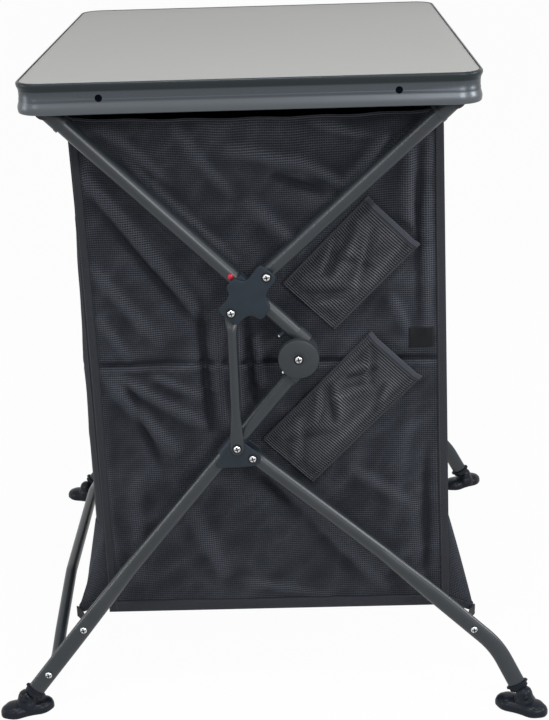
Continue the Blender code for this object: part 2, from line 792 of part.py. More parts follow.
def make_fabric_box():
    """The mesh box: two creased ends, back, framed front, floor board, shelf and the two skirts to the legs."""
    half_length, half_depth = box_length / 2, box_depth / 2
    for end, side in ends.items():
        rows = []
        for row in range(panel_rows + 1):
            z = box_bottom + (box_top - box_bottom) * row / panel_rows
            columns = [-half_depth + box_depth * column / panel_columns for column in range(panel_columns + 1)]
            rows.append([Vector((side * (half_length - crease(y, z)), y, z)) for y in columns])
        if side < 0:
            rows = [row[::-1] for row in rows]
        panel = piece("end_panel_" + end, sheet(rows), "cabinet", "mesh_cloth")
        thicken(panel, cloth)

    reach = half_length - cloth - 2 * clearance
    hem = rail_height - tube_radius - clearance - cloth
    rail_y = rail_spread / 2
    lines = ((half_depth, box_bottom), (half_depth, hem_fold_height), (rail_y, hem))
    rows = [[Vector((x, y, z)) for x in (reach, -reach)] for y, z in lines]
    thicken(piece("back_panel", sheet(rows), "cabinet", "mesh_cloth"), cloth)

    inner = door_width / 2 - door_lap
    lines = ((half_depth, box_bottom), (half_depth, door_bottom + door_lap), (half_depth, door_top - door_lap),
             (half_depth, hem_fold_height), (rail_y, hem))
    rows = [[Vector((x, -y, z)) for x in (-reach, -inner, inner, reach)] for y, z in lines]
    thicken(piece("front_surround", sheet(rows, skip=((1, 1),)), "cabinet", "mesh_cloth"), cloth)

    inside = half_depth - cloth - clearance
    reach = half_length - cloth - shelf_inset
    low = floor_height
    piece("floor_board", box((-reach, -inside, low), (reach, inside, low + floor_thickness)), "cabinet", "board_cloth")
    low = shelf_height - shelf_thickness / 2
    piece("middle_shelf", box((-reach, -inside, low), (reach, inside, low + shelf_thickness)), "cabinet",
          "board_cloth")


def make_skirts():
    """The skirts that flare from the box to the legs. Each is drawn in along its hem and closed by end gussets."""
    half = box_length / 2 - cloth
    seat = box_depth / 2 + clearance + cloth
    for name, out, top, reach in (("front_skirt", -1, front_skirt_top, front_skirt_reach),
                                  ("back_skirt", 1, back_skirt_top, back_skirt_reach)):
        low, high = [], []
        for step in range(-skirt_columns, skirt_columns + 1):
            share = step / skirt_columns
            hem = reach - skirt_draw * (1 - share ** 2)
            low.append(Vector((half * share, out * hem, skirt_bottom)))
            high.append(Vector((half * share, out * seat, top)))
        outside = [Vector((-half, out * seat, box_bottom))] + low + [Vector((half, out * seat, box_bottom))]
        shape = bmesh.new()
        layers = []
        for inward in (0, cloth):
            squeeze = Vector((1 - inward / half, 1, 1))
            shift = Vector((0, -out * inward, 0))
            layers.append(([shape.verts.new(place * squeeze + shift) for place in outside],
                           [shape.verts.new(place * squeeze + shift) for place in high]))
        for lower, upper in layers:
            shape.faces.new((lower[0], lower[1], upper[0]))
            shape.faces.new((lower[-1], lower[-2], upper[-1]))
            for step in range(len(upper) - 1):
                shape.faces.new((lower[step + 1], lower[step + 2], upper[step + 1], upper[step]))
        (lower, upper), (inner_lower, inner_upper) = layers
        edge = lower + upper[::-1]
        inner_edge = inner_lower + inner_upper[::-1]
        for step in range(len(edge)):
            after = (step + 1) % len(edge)
            shape.faces.new((edge[step], edge[after], inner_edge[after], inner_edge[step]))
        piece(name, shape, "cabinet", "mesh_cloth")


def make_door():
    """The roll-up door in front of the opening, hung along its top edge, and the two zip pulls beside it."""
    front, back = door_plane() - cloth / 2, door_plane() + cloth / 2
    piece("door_panel", box((-door_width / 2, front, door_bottom), (door_width / 2, back, door_top)), "door_axis",
          "mesh_cloth")
    for end, side in ends.items():
        place = zip_place(side)
        half = Vector((zip_pull_width, zip_pull_thickness, zip_pull_length)) / 2
        piece("zip_pull_" + end, box(place - half, place + half), "zip_" + end + "_guide", "dark_plastic")


def make_pockets():
    """Two slanted mesh pockets on the near end, open at the top along their hems."""
    face = box_length / 2 + clearance
    down = slanted(pocket_slope)
    over = square_to(down)
    for name, length, front, height in (
        ("upper_pocket", upper_pocket_length, upper_pocket_front, upper_pocket_height),
        ("lower_pocket", lower_pocket_length, lower_pocket_front, lower_pocket_height),
    ):
        mouth = Vector((0, -front, height))
        body = piece(name, bar(mouth, mouth + down * length, pocket_width / 2, -1, face, face + pocket_depth),
                     "cabinet", "mesh_cloth")
        room = pocket_width / 2 - pocket_seam
        cut(body, bar(mouth - down * overrun, mouth + down * (length - pocket_seam), room, -1, face - overrun,
                      face + pocket_depth - cloth), "inside")


for leftover in list(bpy.data.objects):
    bpy.data.objects.remove(leftover)

make_materials()
make_carriers()
make_table()
make_upper_frame()
make_hubs()
make_elbows()
make_back_legs()
make_front_legs()
make_feet()
make_links()
make_fabric_box()
make_skirts()
make_door()
make_pockets()
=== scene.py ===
import json
import math

import bmesh
import bpy
from mathutils import Matrix, Vector, noise
from mathutils.geometry import convex_hull_2d

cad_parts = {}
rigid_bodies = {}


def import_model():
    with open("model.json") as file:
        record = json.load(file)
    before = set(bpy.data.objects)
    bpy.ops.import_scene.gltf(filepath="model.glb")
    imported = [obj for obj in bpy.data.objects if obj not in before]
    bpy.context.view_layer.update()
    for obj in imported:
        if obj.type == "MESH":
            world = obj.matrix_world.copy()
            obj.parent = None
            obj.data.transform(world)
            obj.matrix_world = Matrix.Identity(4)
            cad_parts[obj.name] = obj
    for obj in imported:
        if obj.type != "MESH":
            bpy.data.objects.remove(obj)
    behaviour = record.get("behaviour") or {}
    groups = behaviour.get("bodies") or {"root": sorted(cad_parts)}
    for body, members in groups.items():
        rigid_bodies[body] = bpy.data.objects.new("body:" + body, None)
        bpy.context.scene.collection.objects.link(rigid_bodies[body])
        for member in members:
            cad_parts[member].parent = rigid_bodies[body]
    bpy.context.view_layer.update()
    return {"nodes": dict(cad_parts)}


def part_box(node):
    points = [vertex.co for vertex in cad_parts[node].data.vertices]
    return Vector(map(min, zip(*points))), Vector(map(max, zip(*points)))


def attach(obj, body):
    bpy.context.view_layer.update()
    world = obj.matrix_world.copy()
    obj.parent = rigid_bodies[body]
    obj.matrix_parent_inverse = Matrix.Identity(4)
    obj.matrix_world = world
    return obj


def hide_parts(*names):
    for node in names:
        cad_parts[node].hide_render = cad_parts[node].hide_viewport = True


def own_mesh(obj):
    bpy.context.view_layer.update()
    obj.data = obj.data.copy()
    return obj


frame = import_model()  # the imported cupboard: its bodies, nodes, joints and record


# The camera stands a little above the table, in front of the near end, and looks down on it.
# Its turn, place and lens are those at which the cupboard has the photograph's outline.
camera_place = Vector((-1.8309, -0.0427, 1.0408))
camera_pitch = 0.3631
camera_yaw = -0.0156
camera_roll = -0.0305
sensor_size = 36.0
focal_length = 72.625

ahead = Vector((math.cos(camera_yaw) * math.cos(camera_pitch), -math.sin(camera_yaw) * math.cos(camera_pitch),
                -math.sin(camera_pitch)))
level_right = Vector((-math.sin(camera_yaw), -math.cos(camera_yaw), 0))
level_up = level_right.cross(ahead)
camera_right = level_right * math.cos(camera_roll) + level_up * math.sin(camera_roll)
camera_up = level_up * math.cos(camera_roll) - level_right * math.sin(camera_roll)
camera = bpy.data.objects.new("camera", bpy.data.cameras.new("camera"))
camera_turn = Matrix((camera_right, camera_up, -ahead)).transposed().to_4x4()
camera.matrix_world = Matrix.Translation(camera_place) @ camera_turn
camera.data.sensor_fit = "VERTICAL"
camera.data.sensor_width = sensor_size
camera.data.sensor_height = sensor_size
camera.data.lens = focal_length
bpy.context.scene.collection.objects.link(camera)
bpy.context.scene.camera = camera
bpy.context.scene.view_settings.view_transform = "Standard"


class Number:
    """A number that a shader node puts out. Arithmetic on it adds the Math nodes that work it out."""

    def __init__(self, finish, socket):
        self.finish = finish
        self.socket = socket

    def __add__(self, other):
        return self.finish.maths("ADD", self, other)

    def __sub__(self, other):
        return self.finish.maths("SUBTRACT", self, other)

    def __mul__(self, other):
        return self.finish.maths("MULTIPLY", self, other)

    def __truediv__(self, other):
        return self.finish.maths("DIVIDE", self, other)

    def __rsub__(self, other):
        return self.finish.maths("SUBTRACT", other, self)

    def __gt__(self, other):
        return self.finish.maths("GREATER_THAN", self, other)

    def __lt__(self, other):
        return self.finish.maths("LESS_THAN", self, other)

    __radd__ = __add__
    __rmul__ = __mul__


class Finish:
    """The node tree of a material or world, and the short ways to build it."""

    def __init__(self, owner, surface):
        owner.use_nodes = True
        self.owner = owner
        self.tree = owner.node_tree
        self.surface = self.tree.nodes[surface]

    def node(self, kind, settings, sockets, output=0):
        """Adds a node: its settings first, then the values or links of its sockets."""
        added = self.tree.nodes.new("ShaderNode" + kind)
        for name, value in settings.items():
            setattr(added, name, value)
        for name, value in sockets.items():
            self.put(added.inputs[name], value)
        return Number(self, added.outputs[output])

    def put(self, socket, value):
        if isinstance(value, Number):
            self.tree.links.new(value.socket, socket)
        else:
            socket.default_value = value

    def maths(self, operation, first, second=0.0):
        return self.node("Math", {"operation": operation}, {0: first, 1: second})

    def places(self, kind="Object"):
        """Where each point lies, in the piece's own space or by its UV map."""
        return self.node("TexCoord", {}, {}, kind)

    def parts(self, place):
        """The X, Y and Z of a place."""
        split = self.node("SeparateXYZ", {}, {"Vector": place}).socket.node
        return [Number(self, split.outputs[axis]) for axis in ("X", "Y", "Z")]

    def threads(self, along, pitch):
        """A wave from 0 to 1 with this pitch."""
        return self.maths("SINE", along * (2 * math.pi / pitch)) * 0.5 + 0.5

    def grain(self, place, scale, detail=2.0):
        """Soft random blotches from 0 to 1, this many to the metre."""
        return self.node("TexNoise", {}, {"Vector": place, "Scale": scale, "Detail": detail})

    def eased(self, value, low, high, to_low=0.0, to_high=1.0):
        """A smooth step from one number to another as the value goes from low to high."""
        limits = {"Value": value, "From Min": low, "From Max": high, "To Min": to_low, "To Max": to_high}
        return self.node("MapRange", {"interpolation_type": "SMOOTHSTEP"}, limits)

    def colours(self, share, first, second):
        """The first colour where share is 0 and the second where it is 1."""
        first, second = [one if isinstance(one, Number) else (*one, 1.0) for one in (first, second)]
        return self.node("Mix", {"data_type": "RGBA"}, {0: share, 6: first, 7: second}, 2)

    def relief(self, height, depth):
        """The normal of a surface raised by height, which goes from 0 to 1, over this depth."""
        return self.node("Bump", {}, {"Height": height, "Distance": depth, "Strength": 1.0})

    def feed(self, **values):
        for name, value in values.items():
            self.put(self.surface.inputs[name.replace("_", " ")], value)


def new_finish(name, **plain):
    """A material on a Principled shader, with the settings that are the same all over it."""
    finish = Finish(bpy.data.materials.new(name), "Principled BSDF")
    finish.feed(**plain)
    return finish


# A white sweep and five soft lamps: one overhead, one each side of the camera and one at each side.
# The floor and the world show white to the camera and in reflections, and light the object less.
world_light = 0.13
white_share = 0.97
floor_reach = 9.0
lamps = {
    "lamp_top": ((-0.85, 0.10, 2.40), 0.5, 20.0),
    "lamp_right": ((-2.05, -1.05, 1.48), 0.55, 18.0),
    "lamp_left": ((-1.80, 1.25, 1.70), 0.5, 8.0),
    "lamp_side_right": ((-0.62, -2.00, 1.27), 0.5, 18.0),
    "lamp_side_left": ((-0.47, 2.40, 0.90), 0.6, 9.0),
}


def looked_at(finish):
    """1 on what the camera sees, straight or by a reflection, and 0 on what only lights the object."""
    rays = [finish.node("LightPath", {}, {}, name)
            for name in ("Is Camera Ray", "Is Glossy Ray", "Is Transmission Ray")]
    return finish.maths("MINIMUM", rays[0] + rays[1] + rays[2], 1.0)


sky = Finish(bpy.data.worlds.new("studio"), "Background")
bpy.context.scene.world = sky.owner
sky.feed(Color=(1.0, 1.0, 1.0, 1.0), Strength=looked_at(sky) * (1 - world_light) + world_light)

sweep = new_finish("pale_floor", Base_Color=(0.80, 0.80, 0.80, 1.0), Roughness=0.9)
glow = sweep.node("Emission", {}, {"Color": (1.0, 1.0, 1.0, 1.0), "Strength": 1.0})
mixed = sweep.node("MixShader", {}, {0: looked_at(sweep) * white_share, 2: glow})
sweep.tree.links.new(sweep.surface.outputs[0], mixed.socket.node.inputs[1])
sweep.tree.links.new(mixed.socket, sweep.tree.nodes["Material Output"].inputs["Surface"])

shape = bmesh.new()
bmesh.ops.create_grid(shape, x_segments=1, y_segments=1, size=floor_reach)
floor = bpy.data.objects.new("floor", bpy.data.meshes.new("floor"))
shape.to_mesh(floor.data)
shape.free()
floor.data.materials.append(sweep.owner)
bpy.context.scene.collection.objects.link(floor)

aim = Vector((-0.1, 0, 0.40))
for name, (place, size, power) in lamps.items():
    lamp = bpy.data.objects.new(name, bpy.data.lights.new(name, "AREA"))
    lamp.data.size = size
    lamp.data.energy = power
    lamp.location = place
    lamp.rotation_euler = (aim - Vector(place)).to_track_quat("-Z", "Y").to_euler()
    bpy.context.scene.collection.objects.link(lamp)


# The end frames are steel tube with a dark grey powder coat. On each end the main tube runs from the
# elbow to the back rail, and the front tube from the hub to the front rail. The tubes are drawn a
# little thicker than their solids, as the photograph shows them; the rails are as thick as theirs.
ends = {"near": -1, "far": 1}
X, Y, Z = Vector((1, 0, 0)), Vector((0, 1, 0)), Vector((0, 0, 1))
frame_x = 0.272
tube_radius = 0.008
tube_sides = 40
rail_y = 0.2215
rail_height = 0.7445
back_rail = Vector((0, rail_y, rail_height))
front_rail = Vector((0, -rail_y, rail_height))
hub = Vector((0, 0.008, 0.533))
elbow = Vector((0, -0.0461, 0.4544))
pivot_reach = 0.029
front_round_share = 0.6
tube_outside = 0.280
tube_drawn = 0.0092
step_gap = 0.0003


def square_to(way):
    """The same direction turned a quarter turn up and over, in the end frame's plane."""
    return Vector((0, -way.z, way.y))


def at(x, place):
    return Vector((x, place.y, place.z))


main_way = (back_rail - hub).normalized()
main_side = square_to(main_way)
main_foot = hub + main_way * (elbow - hub).dot(main_way)
front_pivot = hub + main_side * pivot_reach
link_pivot = hub - main_side * pivot_reach
front_way = (front_rail - front_pivot).normalized()


def corners_of(geometry):
    return [part for part in geometry if isinstance(part, bmesh.types.BMVert)]


def drawn(path, radii, across=X, sides=tube_sides):
    """A closed bar drawn along a path. Each ring has its own two radii: square to across, and along it."""
    shape = bmesh.new()
    ring = bmesh.ops.create_circle(shape, cap_ends=False, segments=sides, radius=1)["verts"]
    edges = list(shape.edges)
    seat = Matrix.Identity(4)
    for index, place in enumerate(path):
        if index:
            grown = bmesh.ops.extrude_edge_only(shape, edges=edges)["geom"]
            ring = corners_of(grown)
            edges = [part for part in grown if isinstance(part, bmesh.types.BMEdge) and part.is_boundary]
        way = (path[min(index + 1, len(path) - 1)] - path[max(index - 1, 0)]).normalized()
        side = (across - way * across.dot(way)).normalized()
        first, second = radii[index]
        turn = Matrix((way.cross(side) * first, side * second, way)).transposed().to_4x4()
        new_seat = Matrix.Translation(place) @ turn
        bmesh.ops.transform(shape, matrix=new_seat @ seat.inverted(), verts=ring)
        seat = new_seat
    bmesh.ops.holes_fill(shape, edges=shape.edges, sides=0)
    return shape


def rounded_rod(start, end, radius, rounding, across=X, sides=tube_sides, steps=3):
    """A straight rod whose two ends are rounded over."""
    way = (end - start).normalized()
    path, radii = [], []
    for origin, hand in ((start, 1), (end, -1)):
        stations = []
        for step in range(steps + 1):
            turn = math.pi / 2 * step / steps
            inset = rounding * (1 - math.sin(turn))
            shrink = rounding * (1 - math.cos(math.pi / 2 - turn))
            stations.append((origin + way * hand * inset, radius - shrink))
        path += [place for place, _ in stations][::hand]
        radii += [(reach, reach) for _, reach in stations][::hand]
    return drawn(path, radii, across, sides)


def merged(*shapes):
    """Several closed shapes as one."""
    whole = bmesh.new()
    for shape in shapes:
        carrier = bpy.data.meshes.new("carrier")
        shape.to_mesh(carrier)
        shape.free()
        whole.from_mesh(carrier)
        bpy.data.meshes.remove(carrier)
    return whole


def placed(name, shape, finish, body, replaces=(), sharp=32, closed=True):
    """Makes a shape a piece: shaded smooth between its edges, finished, and riding on its body."""
    if closed:
        bmesh.ops.recalc_face_normals(shape, faces=shape.faces)
    made = bpy.data.objects.new(name, bpy.data.meshes.new(name))
    shape.to_mesh(made.data)
    shape.free()
    bpy.context.scene.collection.objects.link(made)
    made.data.materials.append(finish.owner)
    made.data.shade_smooth()
    made.data.set_sharp_from_angle(angle=math.radians(sharp))
    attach(made, body)
    if replaces:
        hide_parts(*replaces)
    return made


tube_paint = new_finish("tube_paint", Specular_IOR_Level=0.5)
place = tube_paint.places()
blotches = tube_paint.grain(place, 30, 3)
orange_peel = tube_paint.grain(place, 1400, 1)
tube_paint.feed(
    Base_Color=tube_paint.colours(blotches, (0.013, 0.018, 0.023), (0.024, 0.030, 0.036)),
    Roughness=orange_peel * 0.05 + blotches * 0.05 + 0.31,
    Normal=tube_paint.relief(orange_peel, 0.00003),
)

main_start = 0.0110
for end, side in ends.items():
    start = main_foot + main_way * main_start
    shape = drawn([at(side * frame_x, start), at(side * frame_x, back_rail)], [(tube_drawn, tube_drawn)] * 2)
    placed("main_tube_" + end, shape, tube_paint, "cabinet", ["upper_main_tube_" + end])
    start = at(side * frame_x, front_pivot - front_way * tube_radius)
    shape = rounded_rod(start, at(side * frame_x, front_rail), tube_drawn, tube_drawn * front_round_share)
    placed("front_tube_" + end, shape, tube_paint, "front_top", ["upper_front_tube_" + end])

rail_reach = frame_x - tube_radius - 2 * step_gap
for name, place, body in (("back_rail", back_rail, "cabinet"), ("front_rail", front_rail, "front_top")):
    shape = drawn([at(-rail_reach, place), at(rail_reach, place)], [(tube_radius, tube_radius)] * 2, Y)
    placed(name, shape, tube_paint, body, [name.split("_")[0] + "_top_rail"])


# A moulded nylon fitting joins each tube's top to the rail that runs along the table.
# It is a cap over both tube ends, with a rolled lip at the mouth of either socket.
nylon = new_finish("moulded_nylon", Specular_IOR_Level=0.18)
place = nylon.places()
mould_grain = nylon.grain(place, 2600, 1)
flow_marks = nylon.grain(place, 45, 2)
nylon.feed(
    Base_Color=nylon.colours(flow_marks, (0.017, 0.025, 0.034), (0.026, 0.036, 0.047)),
    Roughness=flow_marks * 0.10 + 0.38,
    Normal=nylon.relief(mould_grain, 0.00005),
)

disc_grey = new_finish("disc_grey", Specular_IOR_Level=0.30)
place = disc_grey.places()
disc_marks = disc_grey.grain(place, 60, 2)
disc_grey.feed(
    Base_Color=disc_grey.colours(disc_marks, (0.027, 0.033, 0.038), (0.038, 0.044, 0.049)),
    Roughness=disc_marks * 0.10 + 0.40,
    Normal=disc_grey.relief(disc_grey.grain(place, 2200, 1), 0.00005),
)

corner_radius = 0.0104
corner_length = 0.026
corner_cap = 0.005
corner_arm = 0.019
corner_round = 0.0030
corner_lip = 0.0006
lip_length = 0.0045
lip_round = 0.0009
rows = (("back", back_rail, main_way, "cabinet"), ("front", front_rail, front_way, "front_top"))
for end, side in ends.items():
    for row, corner, way, body in rows:
        centre = at(side * frame_x, corner)
        start = centre - way * corner_length
        arm_end = at(side * (frame_x - corner_arm), corner)
        arm_way = X * side
        shape = merged(
            rounded_rod(start, centre + way * corner_cap, corner_radius, corner_round),
            rounded_rod(start, start + way * lip_length, corner_radius + corner_lip, lip_round),
            rounded_rod(arm_end, centre + arm_way * corner_radius * 0.9, corner_radius, corner_round, Y),
            rounded_rod(arm_end, arm_end + arm_way * lip_length, corner_radius + corner_lip, lip_round, Y),
        )
        placed(row + "_corner_cap_" + end, shape, disc_grey, body, [row + "_corner_" + end])


# The star hub slides on the main tube: a four-armed nylon plate outside, a bar inside and a sleeve
# between them. The front tube turns on one arm and the link on another; a red snap button locks it.
hub_sleeve = 0.0110
hub_sleeve_length = 0.044
hub_front = (0.2864, 0.2904)
hub_back = (0.2588, 0.2624)
hub_edge = 0.0011
hub_overlap = 0.001
sleeve_edge = 0.0015
bar_beyond = 0.006
bar_half_width = 0.0065
bar_edge = 0.0010
arm_round = 0.0062
waist_round = 0.0110
# Each arm's two corners, then the waist before the next arm: along the main tube, and across it.
hub_arms = (
    ((0.0255, -0.0108), (0.0255, 0.0042), (0.0120, 0.0078)),
    ((0.0160, 0.0350), (-0.0095, 0.0372), (-0.0122, 0.0112)),
    ((-0.0290, 0.0068), (-0.0308, -0.0128), (-0.0150, -0.0152)),
    ((-0.0142, -0.0368), (0.0137, -0.0378), (0.0138, -0.0150)),
)


def slab(outline, way, edge):
    """A flat outline raised along a way, with its rims rounded over by edge."""
    shape = bmesh.new()
    face = shape.faces.new([shape.verts.new(place) for place in outline])
    rims = list(face.edges)
    raised = bmesh.ops.extrude_face_region(shape, geom=[face])["geom"]
    bmesh.ops.translate(shape, verts=corners_of(raised), vec=way)
    top = [part for part in raised if isinstance(part, bmesh.types.BMFace)]
    rims += [part for face in top for part in face.edges]
    bmesh.ops.bevel(shape, geom=rims, offset=edge, offset_type="OFFSET", segments=3, profile=0.5,
                    affect="EDGES", material=-1, clamp_overlap=True)
    return shape


def plate(outline, side, inner, outer, edge):
    """An outline in the end frame's plane, as a plate between two distances from the middle."""
    return slab([at(side * inner, place) for place in outline], X * side * (outer - inner), edge)


def block(start, end, half_width, side, inner, outer, edge):
    """A straight-sided block along a line in the end frame's plane."""
    across = square_to((end - start).normalized()) * half_width
    return plate([start - across, end - across, end + across, start + across], side, inner, outer, edge)


def turned(profile, place, axis, steps=48):
    """A shape turned on a lathe, from pairs of a radius and a distance along the axis."""
    shape = bmesh.new()
    points = [shape.verts.new((radius, 0, height)) for radius, height in profile]
    lines = [shape.edges.new(pair) for pair in zip(points, points[1:])]
    bmesh.ops.spin(shape, geom=points + lines, cent=(0, 0, 0), axis=(0, 0, 1), angle=2 * math.pi, steps=steps,
                   use_merge=True)
    bmesh.ops.remove_doubles(shape, verts=shape.verts, dist=1e-6)
    turn = axis.to_track_quat("Z", "Y").to_matrix().to_4x4()
    bmesh.ops.transform(shape, matrix=Matrix.Translation(place) @ turn, verts=shape.verts)
    return shape


def rounded_outline(corners, steps=6):
    """A closed outline with each corner rounded off over its own reach, from pairs of a place and a reach."""
    outline = []
    for index, (corner, reach) in enumerate(corners):
        before = corners[index - 1][0]
        after = corners[(index + 1) % len(corners)][0]
        start = corner + (before - corner).normalized() * min(reach, (before - corner).length * 0.49)
        end = corner + (after - corner).normalized() * min(reach, (after - corner).length * 0.49)
        for step in range(steps + 1):
            share = step / steps
            outline.append(start.lerp(corner, share).lerp(corner.lerp(end, share), share))
    return outline


def star():
    """The hub plate's outline: an arm each way along the main tube and one each way across it."""
    corners = []
    for first, second, waist in hub_arms:
        for (along, across), reach in ((first, arm_round), (second, arm_round), (waist, waist_round)):
            corners.append((hub + main_way * along + main_side * across, reach))
    return rounded_outline(corners)


for end, side in ends.items():
    half = main_way * hub_sleeve_length / 2
    shape = merged(
        plate(star(), side, *hub_front, hub_edge),
        block(hub - half, hub + half, hub_sleeve, side, frame_x, hub_front[0] + hub_overlap, sleeve_edge),
        block(hub - half * 0.7, hub + half * 0.7, hub_sleeve * 0.9, side, hub_back[0], frame_x + hub_overlap,
              sleeve_edge),
        block(link_pivot - main_side * bar_beyond, front_pivot + main_side * bar_beyond, bar_half_width, side,
              *hub_back, bar_edge),
    )
    placed("hub_star_" + end, shape, nylon, "hubs", ["star_hub_" + end])

button_red = new_finish("button_red", Base_Color=(0.60, 0.015, 0.045, 1.0), Roughness=0.3)
place = button_red.places()
button_red.feed(Normal=button_red.relief(button_red.grain(place, 1800, 1), 0.00004))
button_radius = 0.0032
button_proud = 0.0030
button_depth = 0.0060
button_along = 0.028
# The button's dome: shares of its radius, and how far each lies below the top.
button_dome = ((1.0, 0.0014), (0.88, 0.0006), (0.6, 0.0001))
for end, side in ends.items():
    seat = at(side * (tube_outside - button_depth), hub + main_way * button_along)
    tall = button_depth + button_proud
    profile = [(0, 0), (button_radius, 0)]
    profile += [(button_radius * share, tall - below) for share, below in button_dome]
    shape = turned(profile + [(0, tall)], seat, X * side)
    placed("snap_button_" + end, shape, button_red, "lock_button_" + end,
           ["lock_button_" + end])


# Pan-head screws with a cross slot and a washer hold every pivot. They are bright zinc-plated steel.
# The link's two pins are the same heads, which turn with the link.
zinc = new_finish("screw_zinc", Metallic=1.0)
place = zinc.places()
plating = zinc.grain(place, 900, 2)
zinc.feed(
    Base_Color=zinc.colours(plating, (0.50, 0.51, 0.53), (0.72, 0.73, 0.74)),
    Roughness=plating * 0.16 + 0.20,
)

head_radius = 0.0042
head_height = 0.0026
slot_width = 0.0014
slot_length = 0.0060
slot_depth = 0.0021
slot_turn = 0.2
slot_sizes = ((slot_length, slot_width), (slot_width, slot_length))


def cross_slotted_head():
    """A domed screw head on the Z axis, with its cross slot cut into it."""
    profile = [(0, 0), (head_radius, 0), (head_radius, 0.0006), (head_radius * 0.94, 0.0013),
               (head_radius * 0.78, 0.0019), (head_radius * 0.5, 0.0023), (0, head_height)]
    head = bpy.data.objects.new("head", bpy.data.meshes.new("head"))
    shape = turned(profile, Vector(), Z, 32)
    bmesh.ops.recalc_face_normals(shape, faces=shape.faces)
    shape.to_mesh(head.data)
    shape.free()
    bpy.context.scene.collection.objects.link(head)
    cutters = []
    for sizes in slot_sizes:
        shape = bmesh.new()
        size = Matrix.Diagonal((*sizes, 2 * slot_depth, 1))
        bmesh.ops.create_cube(shape, size=1, matrix=Matrix.Translation((0, 0, head_height)) @ size)
        cutter = bpy.data.objects.new("cutter", bpy.data.meshes.new("cutter"))
        shape.to_mesh(cutter.data)
        shape.free()
        bpy.context.scene.collection.objects.link(cutter)
        change = head.modifiers.new("slot", "BOOLEAN")
        change.operation = "DIFFERENCE"
        change.object = cutter
        cutters.append(cutter)
    graph = bpy.context.evaluated_depsgraph_get()
    made = bpy.data.meshes.new_from_object(head.evaluated_get(graph))
    for leftover in (head, *cutters):
        bpy.data.objects.remove(leftover)
    return made


head_mesh = cross_slotted_head()


def screw_head(place, way, turn=slot_turn):
    """A copy of the screw head, standing on place and facing along way."""
    shape = bmesh.new()
    shape.from_mesh(head_mesh)
    seat = way.to_track_quat("Z", "Y").to_matrix().to_4x4() @ Matrix.Rotation(turn, 4, "Z")
    bmesh.ops.transform(shape, matrix=Matrix.Translation(place) @ seat, verts=shape.verts)
    return shape


def slot_shade_bars(place, way, turn=slot_turn):
    """Dark bars in the bottom of a screw's cross slot: painted shade."""
    shade_bars = bmesh.new()
    seat = way.to_track_quat("Z", "Y").to_matrix().to_4x4() @ Matrix.Rotation(turn, 4, "Z")
    lift = Matrix.Translation(place) @ seat @ Matrix.Translation((0, 0, head_height - slot_depth / 2))
    for sizes in slot_sizes:
        size = Matrix.Diagonal((sizes[0] * 0.96, sizes[1] * 0.96, slot_depth * 0.8, 1))
        bmesh.ops.create_cube(shade_bars, size=1, matrix=lift @ size)
    return shade_bars


# Black oxide for the washers; the same finish colours the dark bars of painted shade in the screw slots.
black_oxide_and_slot_shade = new_finish("black_oxide_and_slot_shade", Specular_IOR_Level=0.2)
place = black_oxide_and_slot_shade.places()
rust = black_oxide_and_slot_shade.grain(place, 800, 2)
black_oxide_and_slot_shade.feed(
    Base_Color=black_oxide_and_slot_shade.colours(rust, (0.004, 0.005, 0.006), (0.016, 0.018, 0.021)),
    Roughness=rust * 0.2 + 0.5,
)

pin_radius = 0.003
washer_radius = 0.0058
washer_thickness = 0.0004


def screw(name, place, side, inner, outer, body, replaces=()):
    """A screw along X: a shank from inner to outer and a head. A black washer lies under the head, and dark bars of
    painted shade lie in its slot.
    """
    washer = [(0, 0), (washer_radius, 0), (washer_radius, washer_thickness), (0, washer_thickness)]
    seat = at(side * outer, place)
    shape = merged(turned(washer, seat, X * side), slot_shade_bars(seat + X * side * washer_thickness, X * side))
    placed(name + "_washer", shape, black_oxide_and_slot_shade, body)
    shape = merged(
        drawn([at(side * inner, place), at(side * outer, place)], [(pin_radius, pin_radius)] * 2, Y, 16),
        screw_head(at(side * (outer + washer_thickness), place), X * side),
    )
    return placed(name, shape, zinc, body, replaces)


hub_outside = hub_front[1]
for end, side in ends.items():
    screw("hub_screw_" + end, front_pivot, side, hub_back[0], hub_outside, "hubs", ["hub_pivot_pin_" + end])


# The elbow is a hinge in two halves: a barrel on the foot of the main tube, and on the back leg
# a flat cover disc with a screw in the middle. A rivet beside the disc holds each tube in its socket.
elbow_radius = 0.0235
elbow_barrel = 0.014
barrel_round = 0.0012
disc_depth = 0.009
disc_inside = tube_outside + step_gap
disc_outside = disc_inside + disc_depth
disc_edge = 0.0008
disc_hollow = 0.0004
disc_hollow_radius = 0.0080
socket_radius = 0.0110
socket_length = 0.016
main_socket_start = 0.005
leg_socket_start = 0.016
leg_slope = math.radians(50.7)
leg_offset = 0.0094
leg_way = Vector((0, math.cos(leg_slope), -math.sin(leg_slope)))
leg_side = -square_to(leg_way)
leg_foot = elbow + leg_side * leg_offset
socket_wall = 0.0004
socket_round = 0.0070
hood_outer = 0.0233
hood_inner = 0.0140
hood_from = math.radians(60)
hood_to = math.radians(120)
hood_steps = 24
rivet_radius = 0.0021
rivet_seat = 0.001
rivet_lift = 0.002
boss_round = 0.0006
main_boss_along = 0.030
leg_boss_along = 0.022
web_half_width = 0.0075
web_inset = 0.0025
web_back = 0.0010
web_edge = 0.0015
hood_edge = 0.0022
strap_half_width = 0.0078
strap_edge = 0.0020
strap_from = -0.002
strap_to = 0.010
main_rivet = Vector((0, -0.0248, 0.4785))
leg_rivet = Vector((0, -0.0279, 0.4340))


def rivet(place, way):
    profile = [(0, -rivet_seat), (rivet_radius, -rivet_seat), (rivet_radius * 0.9, rivet_radius * 0.4),
               (rivet_radius * 0.5, rivet_radius * 0.75), (0, rivet_radius * 0.85)]
    return turned(profile, place, way, 20)


